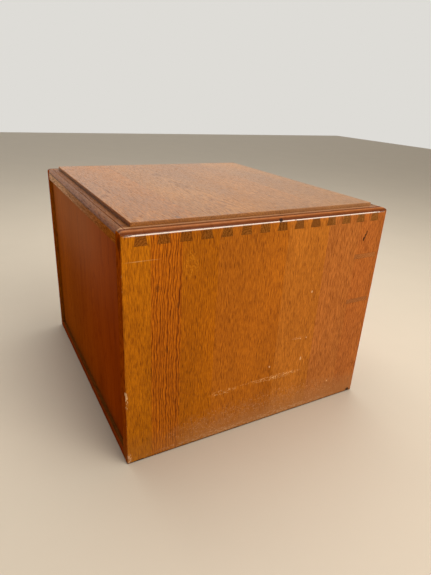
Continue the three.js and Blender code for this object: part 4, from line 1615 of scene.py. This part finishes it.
@dataclass
class Studio:
    """Pale floor, soft daylight from the left, and the camera."""

    floor_half: float = 7.0
    floor_tone: Colour = paint(212, 198, 177)
    floor_mottle: float = 0.93
    surround: Colour = paint(222, 220, 215)
    sun: float = 0.36
    haze: float = 40.0                   # how wide the sun looks, in degrees
    sun_way: Triple = (0.68, 0.35, -0.64)
    fill: float = 0.2
    far_glow: float = 1.25
    camera_place: Triple = (-1.0031, 0.5090, 0.6965)
    camera_turn: Triple = (66.732, -2.945, -118.494)
    lens: float = 28.0

    def floor(self) -> None:
        """A plain floor with a faint mottle, so that it isn't a dead flat tone."""
        bpy.ops.object.select_all(action="DESELECT")
        bpy.ops.mesh.primitive_plane_add(size=2 * self.floor_half)
        plane = bpy.context.active_object
        plane.name = "studio_floor"
        pot = Paint("pale_floor")
        mottle = pot.sheet.noise(pot.place, (3, 3, 3), 4, 0.6)
        darker = tuple(value * self.floor_mottle for value in self.floor_tone)
        colour = pot.sheet.mix(mottle, self.floor_tone, darker)
        pot.sheet.feed(pot.shader.inputs["Base Color"], colour)
        pot.shader.inputs["Roughness"].default_value = 0.6
        pot.shader.inputs["Specular IOR Level"].default_value = 0.25
        plane.data.materials.append(pot.material)

    def surroundings(self) -> None:
        """Pale backdrop for the eye, with a dimmer fill for the light."""
        world = bpy.data.worlds.new("studio")
        bpy.context.scene.world = world
        world.use_nodes = True
        sheet = Sheet(world.node_tree)
        backdrop = world.node_tree.nodes["Background"]
        sheet.feed(backdrop.inputs["Color"], self.surround)
        seen = sheet.add("LightPath").outputs["Is Camera Ray"]
        towards = sheet.split(sheet.add("TexCoord").outputs["Generated"])[0]
        glow = sheet.fade(towards, 0.3, 0.95, self.fill, self.far_glow)
        lit = sheet.math("MULTIPLY", glow, sheet.math("SUBTRACT", 1.0, seen))
        sheet.feed(backdrop.inputs["Strength"], sheet.math("ADD", lit, seen))

    def lamp(self, name: str, place: Vector, aim: Vector, size: Span, radiance: float,
             colour: Colour = (1.0, 1.0, 1.0)) -> None:
        """A soft rectangular light.

        Args:
            name: Name of the light.
            place: Where it hangs.
            aim: What it faces.
            size: Width and height.
            radiance: How bright its face is.
            colour: Its colour.
        """
        data = bpy.data.lights.new(name, "AREA")
        data.shape = "RECTANGLE"
        data.size, data.size_y = size
        data.energy = radiance * math.pi * size[0] * size[1]
        data.color = colour
        lamp = bpy.data.objects.new(name, data)
        bpy.context.scene.collection.objects.link(lamp)
        lamp.location = place
        lamp.rotation_euler = (aim - place).to_track_quat("-Z", "Y").to_euler()

    def lights(self) -> None:
        """Hazy daylight, a high and a low window on the left, and a pale ceiling."""
        data = bpy.data.lights.new("daylight", "SUN")
        data.energy = self.sun * math.pi
        data.angle = math.radians(self.haze)
        data.color = (1.0, 0.97, 0.93)
        sun = bpy.data.objects.new("daylight", data)
        bpy.context.scene.collection.objects.link(sun)
        sun.rotation_euler = Vector(self.sun_way).to_track_quat("-Z", "Y").to_euler()
        edge = Vector((-0.33, -0.1, 0.48))
        self.lamp("window", Vector((-1.6, -1.2, 1.85)), edge, (1.9, 1.2), 2.0)
        low = Vector((-2.2, -1.35, 0.56))
        self.lamp("low_window", low, low + Vector((1, 0, 0)), (2.9, 0.78), 2.8,
                  (1.0, 0.81, 0.64))
        self.lamp("ceiling", Vector((0.3, -0.3, 2.6)), edge, (2.2, 2.2), 3.5)

    def camera(self) -> None:
        """The camera, a little above the table's top at its back left corner."""
        data = bpy.data.cameras.new("camera")
        data.lens = self.lens
        camera = bpy.data.objects.new("camera", data)
        bpy.context.scene.collection.objects.link(camera)
        camera.location = self.camera_place
        camera.rotation_euler = [math.radians(turn) for turn in self.camera_turn]
        bpy.context.scene.camera = camera

    def build(self) -> None:
        """Sets up the floor, the surroundings, the lights and the camera."""
        self.floor()
        self.surroundings()
        self.lights()
        self.camera()
        bpy.context.scene.view_settings.view_transform = "Standard"


# ---- the table's own finishes ------------------------------------------------------------------

SIDE_MIDDLE = 0.316                  # X of the middle of a side board
DEPTH = (-HALF_DEPTH, HALF_DEPTH)
SKIN = 0.004                         # how deep a mark on a face reaches
RISE = ((0.0, (0.86, 0.96, 1.6)), (0.12, (0.9, 0.92, 1.0)), (0.55, (0.97, 0.96, 0.95)),
        (0.9, (1.03, 1.05, 1.1)))
WORN_OAK = paint(196, 142, 92)
CHIPPED_OAK = paint(205, 160, 110)
DARK_FLECK = paint(92, 44, 6)
NAIL_HOLE = paint(40, 14, 2)

SUNNED_STAVES = (
    Stave(-0.235, paint(180, 102, 38), pith=0.34, depth=0.05, ring=0.0030, figure=0.4),
    Stave(-0.145, paint(184, 108, 42), pith=-0.42, depth=0.02, ring=0.0034, figure=0.4),
    Stave(-0.040, paint(186, 110, 30), pith=0.30, depth=0.10, ring=0.0028, figure=0.38),
    Stave(0.118, paint(179, 101, 16), pith=-0.30, depth=0.06, ring=0.0030, figure=0.42),
    Stave(0.191, paint(180, 101, 4), pith=0.02, depth=0.04, ring=0.0034, figure=0.4),
    Stave(0.252, paint(182, 98, 6), pith=0.146, depth=0.03, ring=0.0046, figure=1.0),
    Stave(0.305, paint(190, 110, 4), pith=-0.20, depth=0.04, ring=0.0024, figure=0.4),
)


def on_face(y: float, z: float, wide: float, tall: float, tone: Colour, *rest: float) -> Spot:
    """A spot on the left face, by its place, its half width, its half height and its tone."""
    return Spot((-HALF_WIDTH, y, z), (SKIN, wide, tall), tone, *rest)


def scratched(
    y: float, z: float, size: Span, streak: Triple, tone: Colour, cover: float, strength: float = 1.0,
) -> Scuff:
    """A run of scratches on the left face, by its place, half sizes, grain, tone and cover."""
    return Scuff((-HALF_WIDTH, y, z), (SKIN, *size), streak, tone, cover, strength)


def nail_hole(x: float, z: float, size: float) -> Spot:
    """A small dark hole in the back edge of the left board."""
    return Spot((x, HALF_DEPTH, z), (size, 0.003, size + 0.0002), NAIL_HOLE, 0.85)


def on_top(place: Span, size: Span, *rest) -> Spot:
    """A spot on the raised field, by its place and its half sizes."""
    return Spot((*place, TABLE_HEIGHT), (*size, 0.003), *rest)


def rubbed_top(place: Span, size: Span, *rest) -> Scuff:
    """Scratches on the raised field, by their place and their half sizes."""
    return Scuff((*place, TABLE_HEIGHT), (*size, 0.003), *rest)


KNOCK = Spot((-0.3265, -0.015, 0.4818), (0.007, 0.0040, 0.0036), paint(44, 22, 10), 1.0)

SUNNED_SPOTS = (
    on_face(-0.120, 0.314, 0.0022, 0.0028, CHIPPED_OAK),
    on_face(-0.106, 0.200, 0.0016, 0.0018, CHIPPED_OAK, 0.9),
    on_face(-0.123, 0.199, 0.0016, 0.0016, CHIPPED_OAK, 0.8),
    on_face(-0.027, 0.145, 0.0018, 0.0024, CHIPPED_OAK, 0.9),
    on_face(-0.115, 0.145, 0.0018, 0.0042, paint(208, 164, 114)),
    on_face(-0.212, 0.055, 0.0024, 0.0026, CHIPPED_OAK, 0.9),
    on_face(-0.2545, 0.4345, 0.0013, 0.0056, paint(60, 30, 8), 0.9, 1.0),
    on_face(-0.2514, 0.4275, 0.0017, 0.0056, paint(44, 22, 8), 0.95, 1.0),
    on_face(-0.2482, 0.4205, 0.0024, 0.0046, paint(36, 20, 8), 0.95, 1.0),
    on_face(0.240, 0.380, 0.0030, 0.0075, DARK_FLECK, 0.6),
    on_face(0.200, 0.340, 0.0025, 0.0065, DARK_FLECK, 0.6),
    on_face(0.222, 0.250, 0.0028, 0.0070, DARK_FLECK, 0.55),
    KNOCK,
    Spot((-0.327, 0.3045, 0.172), (SKIN, 0.0022, 0.0040), paint(214, 174, 130), 0.9),
    # painted contact shadow: a dark line along the whole foot of the left face
    Spot((-HALF_WIDTH, 0.0, 0.0), (0.006, 0.62, 0.0040), paint(46, 26, 12), 0.8, 1.6, 0.4),
    Spot((-0.327, 0.280, 0.0015), (0.006, 0.0110, 0.0028), paint(34, 20, 12), 0.95, 2.2),
    Spot((-0.327, -0.290, 0.006), (0.006, 0.0060, 0.0050), paint(38, 22, 12), 0.9),
    Spot((-0.3195, HALF_DEPTH, 0.465), (0.0085, 0.003, 0.0120), paint(58, 20, 2), 0.65, 0.8, 0.4),
    nail_hole(-0.3185, 0.326, 0.0016),
    nail_hole(-0.3240, 0.310, 0.0016),
    nail_hole(-0.3140, 0.388, 0.0016),
    nail_hole(-0.3135, 0.368, 0.0014),
)

LONG_STREAKS = (130, 210, 480)

SUNNED_SCUFFS = (
    scratched(0.267, 0.434, (0.038, 0.0010), (60, 40, 1800), paint(206, 150, 84), 0.56, 0.8),
    scratched(0.090, 0.1135, (0.040, 0.0075), LONG_STREAKS, paint(212, 160, 96), 0.46, 0.8),
    scratched(-0.053, 0.1135, (0.074, 0.0075), LONG_STREAKS, paint(216, 166, 106), 0.48, 0.85),
    scratched(0.020, 0.1170, (0.060, 0.0022), (130, 180, 620), paint(206, 154, 92), 0.48, 0.6),
    scratched(-0.100, 0.203, (0.022, 0.0035), (90, 110, 700), paint(206, 154, 98), 0.46),
    scratched(0.0, 0.010, (0.300, 0.0090), (120, 130, 420), paint(184, 142, 100), 0.5, 0.55),
    Scuff((-0.327, 0.3030, 0.155), (0.004, 0.0042, 0.0240), (300, 420, 150), paint(218, 176, 128), 0.52),
    Scuff((-0.327, 0.3010, 0.014), (0.005, 0.0070, 0.0150), (420, 560, 420), paint(206, 168, 130), 0.50),
    scratched(-0.03, 0.040, (0.310, 0.0520), (160, 340, 380), paint(196, 150, 104), 0.42, 0.6),
    scratched(0.175, 0.417, (0.020, 0.0330), (130, 270, 190), paint(212, 134, 22), 0.48, 0.45),
)


def side_finish(name: str, middle: float, seed: float, **extras) -> TimberFinish:
    """Oak of a side board: staves glued side by side along the depth, grain upright.

    Args:
        name: Name of the finish.
        middle: X of the board's middle.
        seed: Shift of its pattern.
        **extras: Knocks and scuffs.

    Returns:
        The finish.
    """
    return TimberFinish(
        name, (Axis.Y, Axis.X, Axis.Z), (middle, 0, 0), DEPTH, SUNNED_STAVES,
        gloss=0.3, early=(0.44, 0.32, 0.17), end_tone=(0.6, 0.62, 0.75), rays=0.35, seed=seed,
        # back: painted shade, darker and redder on faces that look back
        rise=RISE, dust=0.75, polished_nose_painted_ledge=True, back=((0.85, 0.5, 0.2),) * 2,
        rubbed=WORN_OAK, rubbed_cover=0.02, **extras)


TOP_FINISH = TimberFinish(
    "top_oak", (Axis.Y, Axis.Z, Axis.X), (0, 0, 0.478), DEPTH,
    (
        Stave(-0.150, paint(166, 114, 63), pith=-0.42, depth=0.05, ring=0.0032, figure=0.3),
        Stave(-0.055, paint(164, 110, 58), pith=0.20, depth=0.02, ring=0.0028, figure=0.35),
        Stave(0.150, paint(166, 109, 50), pith=0.055, depth=0.035, ring=0.0048, figure=0.6),
        Stave(0.305, paint(167, 105, 42), pith=0.262, depth=0.03, ring=0.0044, figure=0.45),
    ),
    roughness=0.33, gloss=0.45, refraction=1.42, relief=0.0001, polished_nose_painted_ledge=True,
    waviness=0.03, rays=0.55, seed=0.4, pores=0.14,
    fibre=(0.6, 0.55, 0.48), early=(0.56, 0.46, 0.37), end_tone=(0.74, 0.64, 0.46),
    # back: painted light, lighter on faces that look back, most on the right
    back=((1.2, 0.95, 0.8), (1.6, 1.8, 2.4)),
    lipping=(FIELD_HALF_WIDTH, 0.279, (0.55, 0.47, 0.4)),
    rubbed=paint(205, 160, 120), rubbed_cover=0.02,
    spots=(
        on_top((-0.179, -0.088), (0.0045, 0.0022), paint(70, 40, 24), 0.8),
        on_top((-0.292, 0.188), (0.0075, 0.0020), paint(76, 44, 26), 0.7),
        on_top((-0.192, 0.152), (0.0060, 0.0018), paint(76, 44, 26), 0.7),
        KNOCK,
        on_top((0.0, 0.150), (0.31, 0.0008), paint(92, 58, 34), 0.45, 0.5, 0.5),
    ),
    scuffs=(
        rubbed_top((-0.04, 0.062), (0.19, 0.085), (150, 430, 60), paint(214, 168, 122), 0.46, 0.4),
        rubbed_top((-0.034, 0.245), (0.050, 0.0040), (30, 800, 60), paint(104, 62, 36), 0.5, 0.6),
        rubbed_top((0.0, 0.0), (0.290, 0.270), (36, 950, 60), paint(206, 164, 130), 0.3, 0.5),
        rubbed_top((0.1, -0.05), (0.180, 0.200), (800, 60, 60), paint(206, 164, 130), 0.27, 0.45),
    ),
)

BOTTOM_FINISH = TimberFinish(
    "bottom_oak", (Axis.Y, Axis.Z, Axis.X), (0, 0, 0.012), DEPTH,
    (
        Stave(-0.16, paint(122, 74, 32), pith=-0.1, depth=0.06, ring=0.003, figure=0.4),
        Stave(0.02, paint(128, 79, 34), pith=0.3, depth=0.04, ring=0.0035, figure=0.4),
        Stave(0.17, paint(119, 72, 30), pith=-0.3, depth=0.02, ring=0.0028, figure=0.4),
        Stave(0.305, paint(116, 62, 14), pith=0.2, depth=0.05, ring=0.003, figure=0.4),
    ),
    # back: painted shade, deep red on the back edge
    roughness=0.5, gloss=0.0, seed=0.7, back=((2.1, 0.9, 0.02),) * 2, dust=0.5,
    rubbed=paint(150, 104, 66), rubbed_cover=0.05,
)


def fingered(z: float, tall: float) -> Scuff:
    """Wear round a finger grip, at its height and half height."""
    return Scuff((0.0, -HALF_DEPTH, z), (0.085, 0.004, tall), (420, 60, 420), paint(206, 150, 88), 0.4)


FRONT_FINISH = TimberFinish(
    "front_oak", (Axis.Z, Axis.Y, Axis.X), (0, -0.295, 0), (0.0, 0.5),
    (
        Stave(0.145, paint(180, 100, 28), pith=0.10, depth=0.05, ring=0.0042, figure=0.5),
        Stave(0.2595, paint(184, 104, 31), pith=0.40, depth=0.03, ring=0.0032, figure=0.4),
        Stave(0.2785, paint(170, 92, 22), pith=0.33, depth=0.05, ring=0.0028, figure=0.4),
        Stave(0.3702, paint(186, 105, 30), pith=0.322, depth=0.045, ring=0.0042, figure=0.5),
        Stave(0.3895, paint(171, 93, 22), pith=0.45, depth=0.03, ring=0.0028, figure=0.4),
        Stave(0.5, paint(182, 102, 30), pith=0.405, depth=0.04, ring=0.0036, figure=0.5),
    ),
    gloss=0.35, waviness=0.03, seed=0.15, rays=0.3, end_tone=(0.95, 1.22, 3.6), dust=0.35,
    rubbed=WORN_OAK, rubbed_cover=0.0,
    scuffs=(fingered(0.452, 0.020), fingered(0.362, 0.020), fingered(0.250, 0.022)),
)

PALE_WOOD = {
    "roughness": 0.55, "gloss": 0.3, "pores": 0.3, "rays": 0.7, "relief": 0.00006,
    "fibre": (0.88, 0.85, 0.8), "early": (0.8, 0.72, 0.64), "pore": (0.6, 0.5, 0.42),
    "end_tone": (0.72, 0.66, 0.6),
}


def plain_wood(
    name: str, axes: tuple[Axis, Axis, Axis], tones: tuple[Colour, Colour], span: Span, **extras,
) -> TimberFinish:
    """Close-grained pale wood of the hidden pieces: two boards' worth of tone, faint rings.

    Args:
        name: Name of the finish.
        axes: Directions across, through and along the boards.
        tones: Colours of the two halves of the span.
        span: Extent across that the tones cover.
        **extras: Other fields of the finish.

    Returns:
        The finish.
    """
    staves = (Stave(sum(span) / 2, tones[0], pith=0.3, depth=0.07, ring=0.0034, figure=0.3),
              Stave(span[1], tones[1], pith=-0.3, depth=0.05, ring=0.0030, figure=0.3))
    return TimberFinish(name, axes, (0, 0, 0), span, staves, **{**PALE_WOOD, **extras})


def finishes(groups: SharedGroups) -> dict[str, bpy.types.Material]:
    """Every finish of the table.

    Args:
        groups: The shared shader groups.

    Returns:
        The materials by the maker's short name.
    """
    beech = (paint(198, 152, 108), paint(190, 145, 101))
    runner = (paint(184, 138, 92), paint(178, 131, 86))
    birch = (paint(214, 180, 130), paint(208, 172, 122))
    birch_end = (0.8, 0.74, 0.68)
    boxes, tray = (0.0, 0.53), (-0.3, 0.3)       # extents that the staves of hidden pieces cover
    left = side_finish("sunned_side_oak", -SIDE_MIDDLE, 0.0, spots=SUNNED_SPOTS, scuffs=SUNNED_SCUFFS)
    right = side_finish("right_side_oak", SIDE_MIDDLE, 0.53)
    # matt: the copies for the edges that look back, with painted shade
    matt = {"gloss": 0.0, "polished_nose_painted_ledge": False, "back": ((0.84, 0.47, 0.1),) * 2}
    plain = {"polished_nose_painted_ledge": False, "spots": (), "scuffs": ()}
    made = {
        "left_side": left,
        "right_side": right,
        "left_side_edge": replace(left, name="painted_shade_left_edge_oak", scuffs=(), **matt),
        "right_side_edge": replace(right, name="stained_right_edge_oak", **matt),
        "top": TOP_FINISH,
        # top_edge and top_back_nose: painted light on the faces that look back, much lighter towards the
        # right
        "top_edge": replace(TOP_FINISH, name="top_edge_oak", gloss=0.0, lipping=None,
                            back=((1.14, 0.88, 0.54), (2.7, 4.5, 17.0)), **plain),
        "top_ledge": replace(TOP_FINISH, name="top_ledge_oak", gloss=0.3, refraction=1.2,
                             roughness=0.36, relief=0.00012),
        "top_back_nose": replace(TOP_FINISH, name="top_back_nose_oak", gloss=0.1,
                                 back=((1.3, 1.06, 0.82), (2.1, 2.2, 2.4)), **plain),
        "bottom": BOTTOM_FINISH,
        "front": FRONT_FINISH,
        "ply": StainedPlyFinish(),
        "beech": plain_wood("runner_beech", (Axis.X, Axis.Z, Axis.Y), runner, tray),
        "peg": plain_wood("peg_beech", (Axis.X, Axis.Y, Axis.Z), runner, tray),
        "drawer": plain_wood("drawer_side_beech", (Axis.Z, Axis.X, Axis.Y), beech, boxes),
        "drawer_back": plain_wood("drawer_back_beech", (Axis.Z, Axis.Y, Axis.X), beech, boxes),
        "floor_ply": DrawerPlyFinish(),
        "birch": plain_wood("tray_birch", (Axis.Y, Axis.Z, Axis.X), birch, tray, end_tone=birch_end),
        "birch_short": plain_wood("tray_birch_short", (Axis.Z, Axis.X, Axis.Y), birch, (0.2, 0.5),
                                  end_tone=birch_end),
        "steel": SteelFinish(),
    }
    return {name: finish.build(groups) for name, finish in made.items()}


# ---- assembly ----------------------------------------------------------------------------------


def main() -> None:
    """Builds the table round the frame, then the studio."""
    logging.basicConfig(level=logging.INFO, format="%(message)s")
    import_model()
    bpy.ops.object.select_all(action="DESELECT")
    wood = finishes(SharedGroups())
    Carcass().build(wood)
    for name in ("top", "middle", "bottom"):
        Drawer(name, ledges=name == "middle").build(wood)
    ThreadTray().build(wood)
    Studio().build()


if __name__ == "__main__":
    main()
